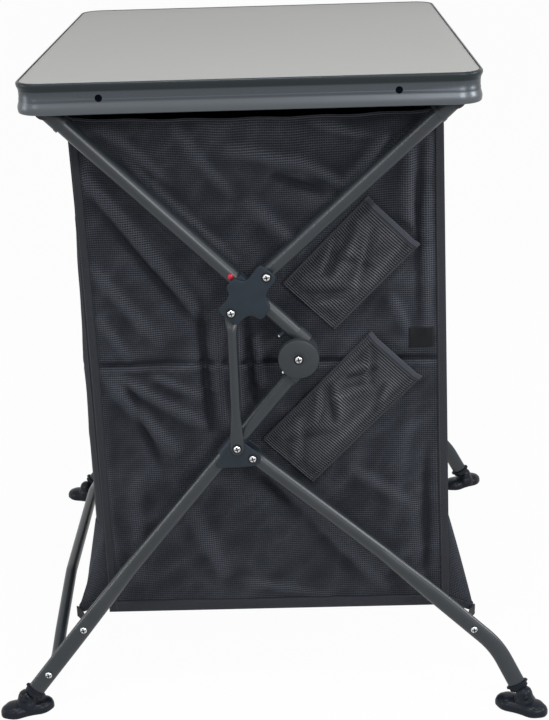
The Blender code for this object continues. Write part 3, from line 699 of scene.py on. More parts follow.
def hood_outline():
    """The hood over the foot of the main tube: part of a ring round the elbow, away from the leg."""
    outline = []
    steps = range(hood_steps + 1)
    for radius, order in ((hood_outer, steps), (hood_inner, reversed(steps))):
        for step in order:
            turn = hood_from + (hood_to - hood_from) * step / hood_steps
            outline.append(elbow + main_way * radius * math.cos(turn) + main_side * radius * math.sin(turn))
    return outline


for end, side in ends.items():
    start = at(side * frame_x, main_foot + main_way * main_socket_start)
    stop = start + main_way * socket_length
    barrel_inside = frame_x - socket_radius
    web_top = main_foot + main_way * (main_socket_start + socket_radius)
    shape = merged(
        rounded_rod(at(side * barrel_inside, elbow), at(side * tube_outside, elbow), elbow_barrel,
                    barrel_round, Y),
        rounded_rod(start, stop, tube_drawn + socket_wall, socket_round),
        block(elbow, web_top, web_half_width, side, barrel_inside + web_inset, tube_outside - web_back,
              web_edge),
        plate(hood_outline(), side, frame_x - tube_radius, tube_outside, hood_edge),
    )
    placed("elbow_barrel_" + end, shape, disc_grey, "cabinet", ["elbow_inner_" + end])

    start = at(side * frame_x, leg_foot + leg_way * leg_socket_start)
    stop = start + leg_way * socket_length
    depth = disc_outside - disc_inside
    face = [
        (0, 0), (elbow_radius - disc_edge, 0), (elbow_radius, disc_edge),
        (elbow_radius, depth - 0.0022), (elbow_radius - 0.0006, depth - 0.0008),
        (elbow_radius - 0.0020, depth),
        (0.0085, depth), (disc_hollow_radius, depth - disc_hollow), (0, depth - disc_hollow),
    ]
    strap_start = leg_foot + leg_way * (leg_socket_start + strap_from)
    strap_end = leg_foot + leg_way * (leg_socket_start + strap_to)
    shape = merged(
        turned(face, at(side * disc_inside, elbow), X * side, 72),
        rounded_rod(start, stop, tube_drawn + socket_wall, disc_edge),
        block(strap_start, strap_end, strap_half_width, side, frame_x, disc_inside + depth / 2, strap_edge),
    )
    placed("elbow_disc_" + end, shape, disc_grey, "back_legs", ["elbow_outer_" + end])
    screw("elbow_screw_" + end, elbow, side, barrel_inside, disc_outside - disc_hollow, "cabinet",
          ["elbow_pin_" + end])

    for name, seat, centre, body in (
        ("main_rivet_", main_rivet, main_foot + main_way * main_boss_along, "cabinet"),
        ("leg_rivet_", leg_rivet, leg_foot + leg_way * leg_boss_along, "back_legs"),
    ):
        way = (seat - centre).normalized()
        head = at(side * (frame_x + rivet_lift), seat)
        root = at(side * frame_x, centre) + way * tube_radius * 0.8
        boss = rounded_rod(root, head, rivet_radius * 1.5, boss_round, X, 20)
        placed(name + "boss_" + end, boss, nylon, body)
        placed(name + end, rivet(head, (way + X * side).normalized()), zinc, body)


# The legs are the same tube. They run straight, then lean out and are pressed to an upright oval
# towards the foot. A gusset bracket on each back leg carries the front leg's pivot. A collar closes
# each leg's end, and screws above it hold the skirts' tabs.
bracket_along = 0.1325
bracket_tail = 0.030
bracket_head = 0.012
bracket_edge = 0.0095
bracket_sleeve = 0.0108
bracket_inside = tube_outside + step_gap
bracket_plate = 0.0025
bracket_round = 0.0008
bracket_sleeve_round = 0.0012
bracket_outside = bracket_inside + bracket_plate
leg_knee_along = 0.345
front_knee_along = 0.200
leg_splay = 0.028
leg_wide = 0.0105
leg_thin = 0.0058
swage_share = 0.62
foot_x = frame_x + leg_splay
foot_height = 0.026
bend_steps = 8
knee_bend = 0.008
foot_bend = 0.020
station_gap = 0.01
socket_overlap = 0.004
toe_short = 0.003
hull_steps = 32
bracket = leg_foot + leg_way * bracket_along
link_end_across = 0.0032
leg_pivot_across = 0.0261
link_end = bracket + leg_side * link_end_across
leg_pivot = bracket + leg_side * leg_pivot_across
back_foot = leg_foot + leg_way * ((leg_foot.z - foot_height) / -leg_way.z)
front_bend = Vector((0, -0.279, 0.078))


def bent(path, reach):
    """A path with each inner corner rounded off over a reach on both sides."""
    made = [path[0]]
    for before, corner, after in zip(path, path[1:], path[2:]):
        start = corner + (before - corner).normalized() * reach
        end = corner + (after - corner).normalized() * reach
        for step in range(bend_steps + 1):
            share = step / bend_steps
            made.append(start.lerp(corner, share).lerp(corner.lerp(end, share), share))
    return made + [path[-1]]


def pressed(path, from_run, to_run):
    """The path with stations every centimetre, and radii that go from round to an upright oval."""
    fine = [path[0]]
    for before, after in zip(path, path[1:]):
        pieces = max(1, round((after - before).length / station_gap))
        fine += [before.lerp(after, step / pieces) for step in range(1, pieces + 1)]
    radii, run = [], 0.0
    for index, place in enumerate(fine):
        run += (place - fine[index - 1]).length if index else 0.0
        share = min(1.0, max(0.0, (run - from_run) / (to_run - from_run)))
        eased = share * share * (3 - 2 * share)
        radii.append([tube_drawn + (pressed_to - tube_drawn) * eased for pressed_to in (leg_wide, leg_thin)])
    return fine, radii


def hull(discs):
    """The tight outline round a few discs, given as centres and radii in the end frame's plane."""
    points = []
    for centre, radius in discs:
        for step in range(hull_steps):
            turn = 2 * math.pi * step / hull_steps
            points.append(Vector((centre.y + radius * math.cos(turn), centre.z + radius * math.sin(turn))))
    return [Vector((0, *points[index])) for index in convex_hull_2d(points)]


foot_gloss = new_finish("foot_gloss", Specular_IOR_Level=0.16)
place = foot_gloss.places()
scuffs = foot_gloss.grain(place, 160, 4)
dust_height = 0.004
dusty = foot_gloss.eased(foot_gloss.parts(place)[2], dust_height, 0.0, 0.0, 0.6) * scuffs
foot_gloss.feed(
    Base_Color=foot_gloss.colours(dusty, (0.009, 0.012, 0.018), (0.050, 0.052, 0.054)),
    Roughness=scuffs * 0.10 + dusty * 0.3 + 0.30,
    Normal=foot_gloss.relief(foot_gloss.grain(place, 900, 1), 0.00002),
)


# The collar's rings: how far along the leg from its end, and the two radii of the oval.
collar_rings = (
    (-0.0052, 0.0112, 0.0065), (-0.0046, 0.0136, 0.0078), (-0.0030, 0.0140, 0.0080),
    (-0.0022, 0.0118, 0.0070), (0.0020, 0.0114, 0.0070), (0.0042, 0.0085, 0.0060),
)
screw_proud = 0.0004


def collar_and_screws(name, path, side, heights, body):
    """The collar pushed on the end of a leg, and the screws that hold the skirt's tabs to it."""
    toe = path[-1]
    way = (toe - path[-2]).normalized()
    collar = drawn([toe + way * along for along, _, _ in collar_rings],
                   [(wide, thin) for _, wide, thin in collar_rings])
    placed("collar_" + name, collar, foot_gloss, body)
    seats = []
    for height in heights:
        before, after = next(pair for pair in zip(path, path[1:]) if pair[0].z >= height > pair[1].z)
        seat = before.lerp(after, (before.z - height) / (before.z - after.z))
        seats.append(seat + X * side * (leg_thin + screw_proud))
    heads = merged(*[screw_head(seat, X * side) for seat in seats])
    placed("tab_screws_" + name, heads, zinc, body)
    # Dark bars of painted shade in the screws' slots.
    shade_bars = merged(*[slot_shade_bars(seat, X * side) for seat in seats])
    placed("tab_slot_shade_" + name, shade_bars, black_oxide_and_slot_shade, body)


screw_heights = {"back": (0.1090, 0.0530), "front": (0.1022,)}
bend_x = 0.2975
front_toe = Vector((0.308, -0.3055, 0.0270))
for end, side in ends.items():
    start = at(side * frame_x, leg_foot + leg_way * (leg_socket_start + socket_overlap))
    knee = at(side * frame_x, leg_foot + leg_way * leg_knee_along)
    toe = at(side * foot_x, back_foot - leg_way * toe_short)
    straight = (knee - start).length
    swaged = straight + (toe - knee).length * swage_share
    path, radii = pressed(bent([start, knee, toe], knee_bend), straight, swaged)
    placed("back_leg_" + end, drawn(path, radii), tube_paint, "back_legs",
           ["back_leg_tube_" + end])
    collar_and_screws("back_" + end, path, side, screw_heights["back"], "back_legs")

    pivot = at(side * frame_x, leg_pivot)
    way = (front_bend - leg_pivot).normalized()
    knee = pivot + way * front_knee_along
    slope = (front_bend - leg_pivot).length - front_knee_along
    bend = at(side * bend_x, front_bend)
    toe = at(side * front_toe.x, front_toe)
    upper = bent([pivot - way * tube_radius, knee, bend.lerp(knee, 0.5)], knee_bend)
    path = upper + bent([knee, bend, toe], foot_bend)[1:]
    path, radii = pressed(path, front_knee_along, front_knee_along + slope * swage_share)
    radii[0] = (tube_radius * 0.6, tube_radius * 0.9)
    placed("front_leg_" + end, drawn(path, radii), tube_paint, "front_leg_" + end,
           ["front_leg_tube_" + end])
    collar_and_screws("front_" + end, path, side, screw_heights["front"], "front_leg_" + end)

    outline = hull([(link_end, bracket_edge), (leg_pivot, bracket_edge),
                    (bracket + leg_way * bracket_tail, bracket_edge / 2)])
    inside = frame_x - tube_drawn - step_gap
    sleeve_start = at(side * frame_x, bracket - leg_way * bracket_head)
    sleeve_end = at(side * frame_x, bracket + leg_way * (bracket_tail - bracket_edge))
    shape = merged(
        plate(outline, side, bracket_inside, bracket_outside, bracket_round),
        plate(outline, side, inside - bracket_plate, inside, bracket_round),
        rounded_rod(sleeve_start, sleeve_end, bracket_sleeve, bracket_sleeve_round),
    )
    placed("gusset_" + end, shape, nylon, "back_legs", ["leg_bracket_" + end])
    screw("leg_screw_" + end, leg_pivot, side, inside - bracket_plate, bracket_outside, "back_legs",
          ["leg_pivot_pin_" + end])

stretcher_radius = 0.0073
stretcher_along = 0.500
stretcher_rise = 0.036
stretcher_end = 0.018
stretcher_gap = 0.0010
share = (stretcher_along - leg_knee_along) / ((back_foot - leg_foot).length - leg_knee_along)
stop = frame_x + leg_splay * share - leg_thin - stretcher_gap
middle = leg_foot + leg_way * stretcher_along
half_path = ((stop, 0), (stop - stretcher_end, 0), (stop * 0.80, stretcher_rise / 3),
             (stop * 0.42, stretcher_rise))
corners = [at(-x, middle) + Z * rise for x, rise in half_path]
corners += [at(x, middle) + Z * rise for x, rise in half_path[::-1]]
path = bent(corners, stretcher_radius)
shape = drawn(path, [(stretcher_radius, stretcher_radius)] * len(path), Y)
placed("stretcher", shape, tube_paint, "back_legs", ["back_stretcher"])


# The link ties the bracket to the hub: a thinner tube, pressed flat at both ends for its pins.
# It widens where it is pressed, and more slowly at the bracket than at the hub.
link_inside = bracket_outside + step_gap
link_flat = 0.003
link_outside = link_inside + link_flat
link_flat_middle = (link_inside + link_outside) / 2
link_wide = 0.0078
link_round = 0.0055
link_round_middle = tube_outside + step_gap + link_round
link_oval = 0.0058
link_way = (link_end - link_pivot).normalized()
link_length = (link_end - link_pivot).length
# How far along the link, the reach to each side, and how round it is there.
link_stations = (
    (-0.0078, 0.0015, 0), (-0.0070, 0.0040, 0), (-0.0045, 0.0066, 0), (0, link_wide, 0),
    (0.0090, link_wide, 0),
    (0.0130, 0.0074, 0.12), (0.0165, 0.0067, 0.55), (0.0200, 0.0061, 0.9), (0.0240, link_oval, 1),
    (link_length - 0.0520, link_oval, 1), (link_length - 0.0420, 0.0060, 0.95),
    (link_length - 0.0320, 0.0065, 0.45), (link_length - 0.0200, 0.0071, 0.1),
    (link_length - 0.0120, link_wide, 0), (link_length, link_wide, 0),
    (link_length + 0.0045, 0.0066, 0), (link_length + 0.0070, 0.0040, 0), (link_length + 0.0078, 0.0015, 0),
)
for end, side in ends.items():
    path, radii = [], []
    for along, wide, roundness in link_stations:
        x = link_flat_middle + (link_round_middle - link_flat_middle) * roundness
        path.append(at(side * x, link_pivot + link_way * along))
        radii.append((wide, link_flat / 2 + (link_round - link_flat / 2) * roundness))
    placed("link_" + end, drawn(path, radii), tube_paint, "links", ["link_bar_" + end])
    screw("link_top_screw_" + end, link_pivot, side, link_flat_middle, hub_outside, "links")
    screw("link_low_screw_" + end, link_end, side, link_flat_middle, link_outside, "links")


# Each foot is a hard glossy pad that swivels on a cross pin at the end of its leg.
# The pad is waisted like a peanut and turned out; a round boss in its middle holds the pin.
pad_half_length = 0.033
pad_half_width = 0.0170
pad_waist = 0.0145
pad_steps = 64
# The height of each level of the pad, and how far its outline is drawn in there.
pad_levels = (
    (0.0, 0.0014), (0.0010, 0.0), (0.0050, 0.0), (0.0085, 0.0012), (0.0110, 0.0034), (0.0126, 0.0066),
    (0.0130, 0.0090),
)
# Radii and heights of the boss, of the swell at either end of the pad and of the pin's button ends.
boss_profile = (
    (0, 0.004), (0.0150, 0.004), (0.0142, 0.0120), (0.0122, 0.0150), (0.0106, 0.0185), (0.0096, 0.0225),
    (0.0080, 0.0258), (0.0052, 0.0282), (0, 0.0290),
)
lobe_profile = (
    (0, 0.006), (0.0130, 0.006), (0.0126, 0.0098), (0.0106, 0.0122), (0.0064, 0.0136), (0, 0.0141),
)
ball_profile = (
    (0, -0.0010), (0.0036, -0.0010), (0.0036, 0.0004), (0.0031, 0.0018), (0.0018, 0.0027), (0, 0.0030),
)
lobe_reach = 0.0165
pin_radius_thin = 0.0025
pin_reach = 0.0100
ball_sunk = 0.0006
pad_square = 0.8
waist_spread = 1.25
pad_places = {
    "back": (Vector((0.2975, 0.3010, 0)), Vector((0.2975, 0.3015, 0.0215)), math.radians(20)),
    "front": (Vector((0.3155, -0.3085, 0)), Vector((0.3130, -0.3120, 0.0195)), math.radians(30)),
}


def pad_outline(centre, turn, inset):
    """The pad's waisted outline at one level, drawn in by inset."""
    outline = []
    for step in range(pad_steps):
        angle = 2 * math.pi * step / pad_steps
        along = math.cos(angle)
        across = math.sin(angle)
        swell = math.sin(min(1.0, abs(along) * waist_spread) * math.pi / waist_spread) ** 2
        wide = pad_waist + (pad_half_width - pad_waist) * swell
        long_reach = (pad_half_length - inset) * math.copysign(abs(along) ** pad_square, along)
        wide_reach = (wide - inset) * math.copysign(abs(across) ** pad_square, across)
        outline.append(centre + turn * long_reach + Vector((-turn.y, turn.x, 0)) * wide_reach)
    return outline


def lofted(outlines):
    """A closed skin through level outlines that have the same count of points."""
    shape = bmesh.new()
    ring = bmesh.ops.create_circle(shape, cap_ends=False, segments=len(outlines[0]), radius=1)["verts"]
    edges = list(shape.edges)
    for level, outline in enumerate(outlines):
        if level:
            before = ring
            grown = bmesh.ops.extrude_edge_only(shape, edges=edges)["geom"]
            edges = [part for part in grown if isinstance(part, bmesh.types.BMEdge) and part.is_boundary]
            new = set(corners_of(grown))
            ring = [next(edge.other_vert(vert) for edge in vert.link_edges if edge.other_vert(vert) in new)
                    for vert in before]
        for vert, place in zip(ring, outline):
            vert.co = place
    return shape


for end, side in ends.items():
    for row, (spot, pivot, turn_out) in pad_places.items():
        out = math.copysign(1, spot.y)
        body = row + "_foot_" + end
        turn = Vector((side * math.sin(turn_out), out * math.cos(turn_out), 0))
        centre = Vector((side * spot.x, spot.y, 0))
        hinge = Vector((side * pivot.x, pivot.y, pivot.z))
        base = lofted([[place + Z * level for place in pad_outline(centre, turn, inset)]
                       for level, inset in pad_levels])
        bmesh.ops.holes_fill(base, edges=base.edges, sides=0)
        lobes = [turned(lobe_profile, centre + turn * hand * lobe_reach, Z, 36) for hand in (-1, 1)]
        boss = turned(boss_profile, Vector((hinge.x, hinge.y, 0)), Z, 40)
        shape = merged(base, boss, *lobes)
        placed(row + "_pad_" + end, shape, foot_gloss, body, [body], sharp=50)
        pin_ends = [hinge - X * pin_reach, hinge + X * pin_reach]
        pin = [drawn(pin_ends, [(pin_radius_thin, pin_radius_thin)] * 2, Y, 20)]
        for hand in (-1, 1):
            pin.append(turned(ball_profile, hinge + X * hand * (pin_reach - ball_sunk), X * hand, 28))
        placed(row + "_pad_pin_" + end, merged(*pin), foot_gloss, body,
               [row + "_foot_pin_" + end])


# The table top: a laminated board dropped into a rolled aluminium rim with a satin grey coat.
# The rim has a lip at the top, a hollow band with vent holes, and a bead over a lower lip. Its colour has painted
# reflections, a darker top band and a paler bead, and the holes are darkened by painted shade.
table_length = 0.600
table_depth = 0.500
table_height = 0.776
rim_corner = 0.028
rim_steps = 10
board_low = 0.7655
# The rim's section: how far in from the table's outline, and the height.
rim_profile = [
    (0.0034, 0.7760), (0.0022, 0.7760), (0.0010, 0.7757), (0.0003, 0.7750), (0.0000, 0.7740),
    (0.0000, 0.7722), (0.0005, 0.7706), (0.0013, 0.7690), (0.0020, 0.7670), (0.0022, 0.7640),
    (0.0022, 0.7588), (0.0018, 0.7580), (0.0018, 0.7556), (0.0014, 0.7536), (0.0006, 0.7512),
    (0.0001, 0.7490), (0.0000, 0.7470), (0.0002, 0.7446), (0.0007, 0.7428), (0.0016, 0.7421),
    (0.0028, 0.7420), (0.0045, 0.7424), (0.0045, 0.7636), (0.0120, 0.7636), (0.0120, 0.7652),
    (0.0025, 0.7652), (0.0025, 0.7757), (0.0028, 0.7760),
]
bead_reflection_heights = (0.7560, 0.7535)
top_dark_reflection_heights = (0.7655, 0.7675)
hole_height = 0.7592
hole_outside = 0.002
hole_reach = 0.0042
shade_cup_inset = 0.0036
board_inset = 0.0030
board_sunk = 0.0005
board_edge = 0.0007
hole_radius = 0.0040
hole_spread = 0.318
hole_depth = 0.0018


def rounded_loop(inset, height, steps=rim_steps):
    """The table's outline at one level, drawn in by inset."""
    x, y = table_length / 2 - rim_corner, table_depth / 2 - rim_corner
    loop = []
    for quarter, (cx, cy) in enumerate(((x, y), (-x, y), (-x, -y), (x, -y))):
        for step in range(steps + 1):
            turn = math.pi / 2 * (quarter + step / steps)
            reach = rim_corner - inset
            loop.append(Vector((cx + reach * math.cos(turn), cy + reach * math.sin(turn), height)))
    return loop


def fitted(mesh_object, cutter_shape):
    """Cuts a shape out of a piece for good."""
    cutter = bpy.data.objects.new("cutter", bpy.data.meshes.new("cutter"))
    bmesh.ops.recalc_face_normals(cutter_shape, faces=cutter_shape.faces)
    cutter_shape.to_mesh(cutter.data)
    cutter_shape.free()
    bpy.context.scene.collection.objects.link(cutter)
    change = mesh_object.modifiers.new("cut", "BOOLEAN")
    change.operation = "DIFFERENCE"
    change.object = cutter
    graph = bpy.context.evaluated_depsgraph_get()
    made = bpy.data.meshes.new_from_object(mesh_object.evaluated_get(graph))
    mesh_object.modifiers.remove(change)
    mesh_object.data = made
    bpy.data.objects.remove(cutter)


rim_satin = new_finish("rim_satin", Metallic=0.60, Specular_IOR_Level=0.25)
place = rim_satin.places()
speckle = rim_satin.grain(place, 1100, 3)
shade = rim_satin.grain(place, 18, 2)
level = rim_satin.parts(place)[2]
bare = rim_satin.colours(speckle, (0.052, 0.061, 0.071), (0.078, 0.089, 0.101))
# Painted reflections: the rim's colour is darker at the top and paler from the bead down.
painted_bead_reflection = rim_satin.colours(rim_satin.eased(level, *bead_reflection_heights), bare, (0.100, 0.111, 0.124))
rim_satin.feed(
    Base_Color=rim_satin.colours(rim_satin.eased(level, *top_dark_reflection_heights), painted_bead_reflection, (0.026, 0.033, 0.036)),
    Roughness=shade * 0.08 + speckle * 0.10 + 0.26,
    Normal=rim_satin.relief(speckle, 0.00005),
)
shape = lofted([rounded_loop(inset, height) for inset, height in rim_profile + rim_profile[:1]])
bmesh.ops.remove_doubles(shape, verts=shape.verts, dist=1e-6)
rim = placed("rim", shape, rim_satin, "table", ["table_rim"])
holes = []
for side in ends.values():
    for hand in (-1, 1):
        outer = Vector((side * (table_length / 2 + hole_outside), hand * hole_spread / 2, hole_height))
        inner = outer - X * side * (hole_reach + hole_depth)
        holes.append(drawn([outer, inner], [(hole_radius, hole_radius)] * 2, Y, 32))
fitted(rim, merged(*holes))
rim.data.set_sharp_from_angle(angle=math.radians(32))

# Painted shade: near-black cups with almost no gloss sit at the bottom of the vent holes, so that the holes look
# dark.
hole_shade = new_finish("vent_hole_shade", Base_Color=(0.002, 0.003, 0.006, 1.0), Roughness=0.7,
                       Specular_IOR_Level=0.02)
place = hole_shade.places()
hole_shade.feed(Normal=hole_shade.relief(hole_shade.grain(place, 900, 1), 0.0001))
shade_cups = []
cup = [(0, -0.0004), (hole_radius, -0.0004), (hole_radius, 0.0008), (hole_radius * 0.8, 0.0006), (0, 0.0002)]
for side in ends.values():
    for hand in (-1, 1):
        outer = Vector((side * (table_length / 2 - shade_cup_inset), hand * hole_spread / 2, hole_height))
        shade_cups.append(turned(cup, outer, X * side, 28))
placed("vent_shade_cups", merged(*shade_cups), hole_shade, "table")

laminate = new_finish("board_laminate", Coat_Weight=0.0)
place = laminate.places()
flecks = laminate.grain(place, 900, 4)
cloudy = laminate.grain(place, 6, 2)
laminate.feed(
    Base_Color=laminate.colours(flecks * 0.7 + cloudy * 0.3, (0.335, 0.337, 0.326), (0.380, 0.382, 0.371)),
    Roughness=flecks * 0.12 + 0.46,
    Normal=laminate.relief(flecks, 0.00004),
)
board = slab(rounded_loop(board_inset, board_low), Z * (table_height - board_sunk - board_low), board_edge)
placed("board", board, laminate, "table", ["table_board"])

# The clips under the rim are drawn by their own solids, in nylon.
for node in ("table_clip_front_near", "table_clip_front_far", "table_clip_back_near", "table_clip_back_far"):
    frame["nodes"][node].data.materials.clear()
    frame["nodes"][node].data.materials.append(nylon.owner)


# The end panels are dark woven mesh, sewn at the shelf and hung from the rails, so they are drawn
# into folds by the corners. A grey tape binds the edges, and a small dark patch faces the front edge.
cloth = 0.0012
box_length = 0.4912
box_depth = 0.405
box_low = 0.107
box_top = 0.7285
shelf_height = 0.430
mesh_pitch = 0.0026
crease_depth = 0.0030
crease_rounds = 30
# How far the light threads are paled on fold ridges and darkened in fold valleys: painted highlight and painted
# shade.
fold_light_range = (0.35, 1.65)
rib_relief = 0.00035


def woven_mesh(name, pitch, dark, light, across_share=0.85):
    """A square open weave, by the cloth's own flat places: strong ribs along it and weaker ones across."""
    finish = new_finish(name, Specular_IOR_Level=0.16)
    flat = finish.places("UV")
    along, over, _ = finish.parts(flat)
    raised = finish.maths("MAXIMUM", finish.threads(over, pitch), finish.threads(along, pitch) * across_share)
    slubs = finish.grain(flat, 260.0, 2.0)
    worn = finish.grain(flat, 9.0, 3.0)
    crease = finish.node("Attribute", {"attribute_name": "crease"}, {}, "Fac")
    # Painted light and shade: the light threads are paler where the cloth stands above its smoothed shape and darker
    # where it lies below.
    painted_fold_light_and_rub = finish.eased(crease, -crease_depth, crease_depth, *fold_light_range)
    light_share = raised * raised * (slubs * 0.6 + 0.5) * (worn * 0.8 + 0.5) * painted_fold_light_and_rub
    finish.feed(
        Base_Color=finish.colours(light_share, dark, light),
        Roughness=0.86 - raised * 0.18,
        Normal=finish.relief(raised, rib_relief),
    )
    return finish


mesh_cloth = woven_mesh("mesh_cloth", mesh_pitch, (0.003, 0.004, 0.008), (0.074, 0.081, 0.098))
pocket_mesh = woven_mesh("pocket_mesh", 0.0029, (0.003, 0.004, 0.007), (0.165, 0.174, 0.192), 0.5)

binding = new_finish("binding_tape", Specular_IOR_Level=0.16)
flat = binding.places("UV")
tape_along, tape_over, _ = binding.parts(flat)
twill_pitch = 0.0011
stitch_inset = 0.0016
stitch_pitch = 0.0034
stitch_half_width = 0.00035
stitch_share = 0.68
twill_relief = 0.0003
twill = binding.threads(tape_along + tape_over, twill_pitch)
stitch_run = binding.maths("FRACT", tape_along * (1 / stitch_pitch))
stitch_line = (binding.maths("ABSOLUTE", tape_over - stitch_inset) < stitch_half_width) * (stitch_run < stitch_share)
fuzz = binding.grain(flat, 120.0, 3.0)
tape_colour = binding.colours(twill * (fuzz * 0.6 + 0.4), (0.024, 0.026, 0.032), (0.050, 0.054, 0.064))
binding.feed(
    Base_Color=binding.colours(stitch_line, tape_colour, (0.085, 0.09, 0.10)),
    Roughness=0.84 - twill * 0.1,
    Normal=binding.relief(twill * 0.4 + stitch_line, twill_relief),
)


# The top hem and the pocket mouths are drawn paler than the binding tape: a painted highlight, where these folds
# face up into the light.
hem_tape_painted_lit = new_finish("hem_tape_painted_lit", Specular_IOR_Level=0.16)
flat = hem_tape_painted_lit.places("UV")
hem_along, hem_over, _ = hem_tape_painted_lit.parts(flat)
hem_stitch_half_width = 0.00045
hem_twill = hem_tape_painted_lit.threads(hem_along + hem_over, twill_pitch)
hem_stitch = hem_tape_painted_lit.maths("ABSOLUTE", hem_over - stitch_inset) < hem_stitch_half_width
hem_lit_colour = hem_tape_painted_lit.colours(hem_twill, (0.045, 0.049, 0.060), (0.085, 0.092, 0.112))
hem_tape_painted_lit.feed(
    Base_Color=hem_tape_painted_lit.colours(hem_stitch, hem_lit_colour, (0.012, 0.014, 0.020)),
    Roughness=0.82 - hem_twill * 0.1,
    Normal=hem_tape_painted_lit.relief(hem_twill * 0.5, 0.0003),
)


def smooth(value, low, high):
    share = min(1.0, max(0.0, (value - low) / (high - low)))
    return share * share * (3 - 2 * share)


def mark_creases(shape):
    """Keeps how far each place stands above the smoothed cloth, for a painted highlight on ridges and painted shade
    in valleys.
    """
    crease = shape.verts.layers.float.new("crease")
    shape.normal_update()
    hung = [(vert.co.copy(), vert.normal.copy()) for vert in shape.verts]
    for _ in range(crease_rounds):
        bmesh.ops.smooth_vert(shape, verts=shape.verts, factor=1.0, use_axis_x=True, use_axis_y=True,
                              use_axis_z=True)
    for vert, (place, normal) in zip(shape.verts, hung):
        vert[crease] = (place - vert.co).dot(normal)
        vert.co = place


def sewn_sheet(name, width, length, columns, rows, hang, finish, body, replaces=(), thickness=cloth,
               flip=False):
    """A sheet cut width by length. hang says where each flat place of it hangs; its UVs are those places."""
    shape = bmesh.new()
    flat = shape.loops.layers.uv.new("flat")
    bmesh.ops.create_grid(shape, x_segments=columns, y_segments=rows, size=0.5)
    for face in shape.faces:
        for corner in face.loops:
            corner[flat].uv = ((corner.vert.co.x + 0.5) * width, (corner.vert.co.y + 0.5) * length)
    for vert in shape.verts:
        vert.co = hang((vert.co.x + 0.5) * width, (vert.co.y + 0.5) * length)
    if flip:
        bmesh.ops.reverse_faces(shape, faces=shape.faces)
    mark_creases(shape)
    made = placed(name, shape, finish, body, replaces, 70, closed=False)
    wall = made.modifiers.new("wall", "SOLIDIFY")
    wall.thickness = thickness
    wall.offset = 0
    return made


def ridge(y, z, start, end, width, rise):
    """A soft ridge along a line, or a valley where rise is below zero, fading out at both ends."""
    run = (end[0] - start[0], end[1] - start[1])
    length = math.hypot(*run)
    along = ((y - start[0]) * run[0] + (z - start[1]) * run[1]) / length
    off = ((y - start[0]) * run[1] - (z - start[1]) * run[0]) / length
    share = along / length
    if not 0 < share < 1:
        return 0.0
    return rise * math.sin(math.pi * share) ** 0.7 * math.exp(-((off / width) ** 2))

# What is made from here on belongs to the cloth box.
frame_pieces = set(bpy.context.scene.objects)


pocket_slope = math.radians(-45.6)
pocket_width = 0.083
pocket_hem = 0.0075
seam_tape = 0.0035
pocket_down = Vector((0, math.cos(pocket_slope), math.sin(pocket_slope)))
pocket_over = square_to(pocket_down)
pockets = {
    "upper_pocket": (0.140, Vector((0, -0.1572, 0.6040))),
    "lower_pocket": (0.186, Vector((0, -0.1605, 0.4430))),
}
under_pocket = 0.006

# Each fold of the near end: where it starts and ends, back to front and up, its width and its rise.
near_folds = [
    ((0.196, 0.668), (0.060, 0.486), 0.0075, 0.0075), ((0.186, 0.640), (0.070, 0.482), 0.0060, -0.0050),
    ((0.150, 0.690), (0.020, 0.555), 0.0055, 0.0060), ((0.175, 0.724), (0.090, 0.655), 0.0060, 0.0045),
    ((0.192, 0.560), (0.110, 0.455), 0.0080, 0.0050), ((0.190, 0.500), (0.150, 0.440), 0.0060, 0.0040),
    ((0.090, 0.722), (0.020, 0.640), 0.0070, 0.0040), ((0.034, 0.700), (-0.058, 0.679), 0.0060, 0.0060),
    ((-0.040, 0.690), (-0.106, 0.648), 0.0055, 0.0060), ((-0.150, 0.702), (-0.098, 0.645), 0.0055, 0.0065),
    ((-0.020, 0.668), (-0.085, 0.640), 0.0050, -0.0045), ((-0.060, 0.722), (-0.140, 0.700), 0.0045, 0.0035),
    ((0.010, 0.640), (-0.060, 0.560), 0.0090, 0.0050), ((-0.196, 0.722), (-0.120, 0.655), 0.0060, 0.0050),
    ((-0.172, 0.705), (-0.174, 0.560), 0.0060, 0.0070), ((-0.194, 0.705), (-0.196, 0.460), 0.0055, 0.0030),
    ((-0.184, 0.690), (-0.186, 0.480), 0.0040, -0.0030), ((-0.150, 0.520), (-0.176, 0.462), 0.0060, 0.0040),
    ((0.192, 0.4335), (0.028, 0.4345), 0.0020, 0.0022), ((0.074, 0.403), (0.036, 0.402), 0.0020, 0.0020),
    ((0.190, 0.428), (0.098, 0.318), 0.0080, 0.0075), ((0.176, 0.426), (0.060, 0.352), 0.0065, 0.0060),
    ((0.160, 0.420), (0.120, 0.300), 0.0060, -0.0050), ((0.130, 0.424), (0.066, 0.392), 0.0050, 0.0040),
    ((0.068, 0.520), (0.060, 0.345), 0.0050, -0.0065), ((0.050, 0.505), (0.044, 0.350), 0.0045, 0.0060),
    ((0.026, 0.500), (0.024, 0.365), 0.0045, 0.0050), ((0.014, 0.492), (0.006, 0.380), 0.0040, -0.0060),
    ((0.004, 0.470), (-0.004, 0.400), 0.0035, 0.0045), ((0.010, 0.318), (-0.150, 0.150), 0.0110, 0.0060),
    ((0.004, 0.290), (-0.034, 0.245), 0.0045, -0.0045), ((-0.012, 0.300), (-0.046, 0.262), 0.0040, 0.0045),
    ((-0.060, 0.235), (-0.150, 0.130), 0.0080, 0.0050), ((0.090, 0.250), (0.050, 0.150), 0.0100, 0.0045),
    ((0.150, 0.300), (0.160, 0.140), 0.0080, 0.0025), ((-0.185, 0.400), (-0.150, 0.200), 0.0090, 0.0020),
    ((-0.200, 0.330), (-0.196, 0.130), 0.0060, -0.0045), ((-0.100, 0.300), (-0.190, 0.240), 0.0080, 0.0035),
    ((0.194, 0.400), (0.185, 0.140), 0.0060, 0.0040), ((0.040, 0.150), (-0.080, 0.122), 0.0060, 0.0030),
]
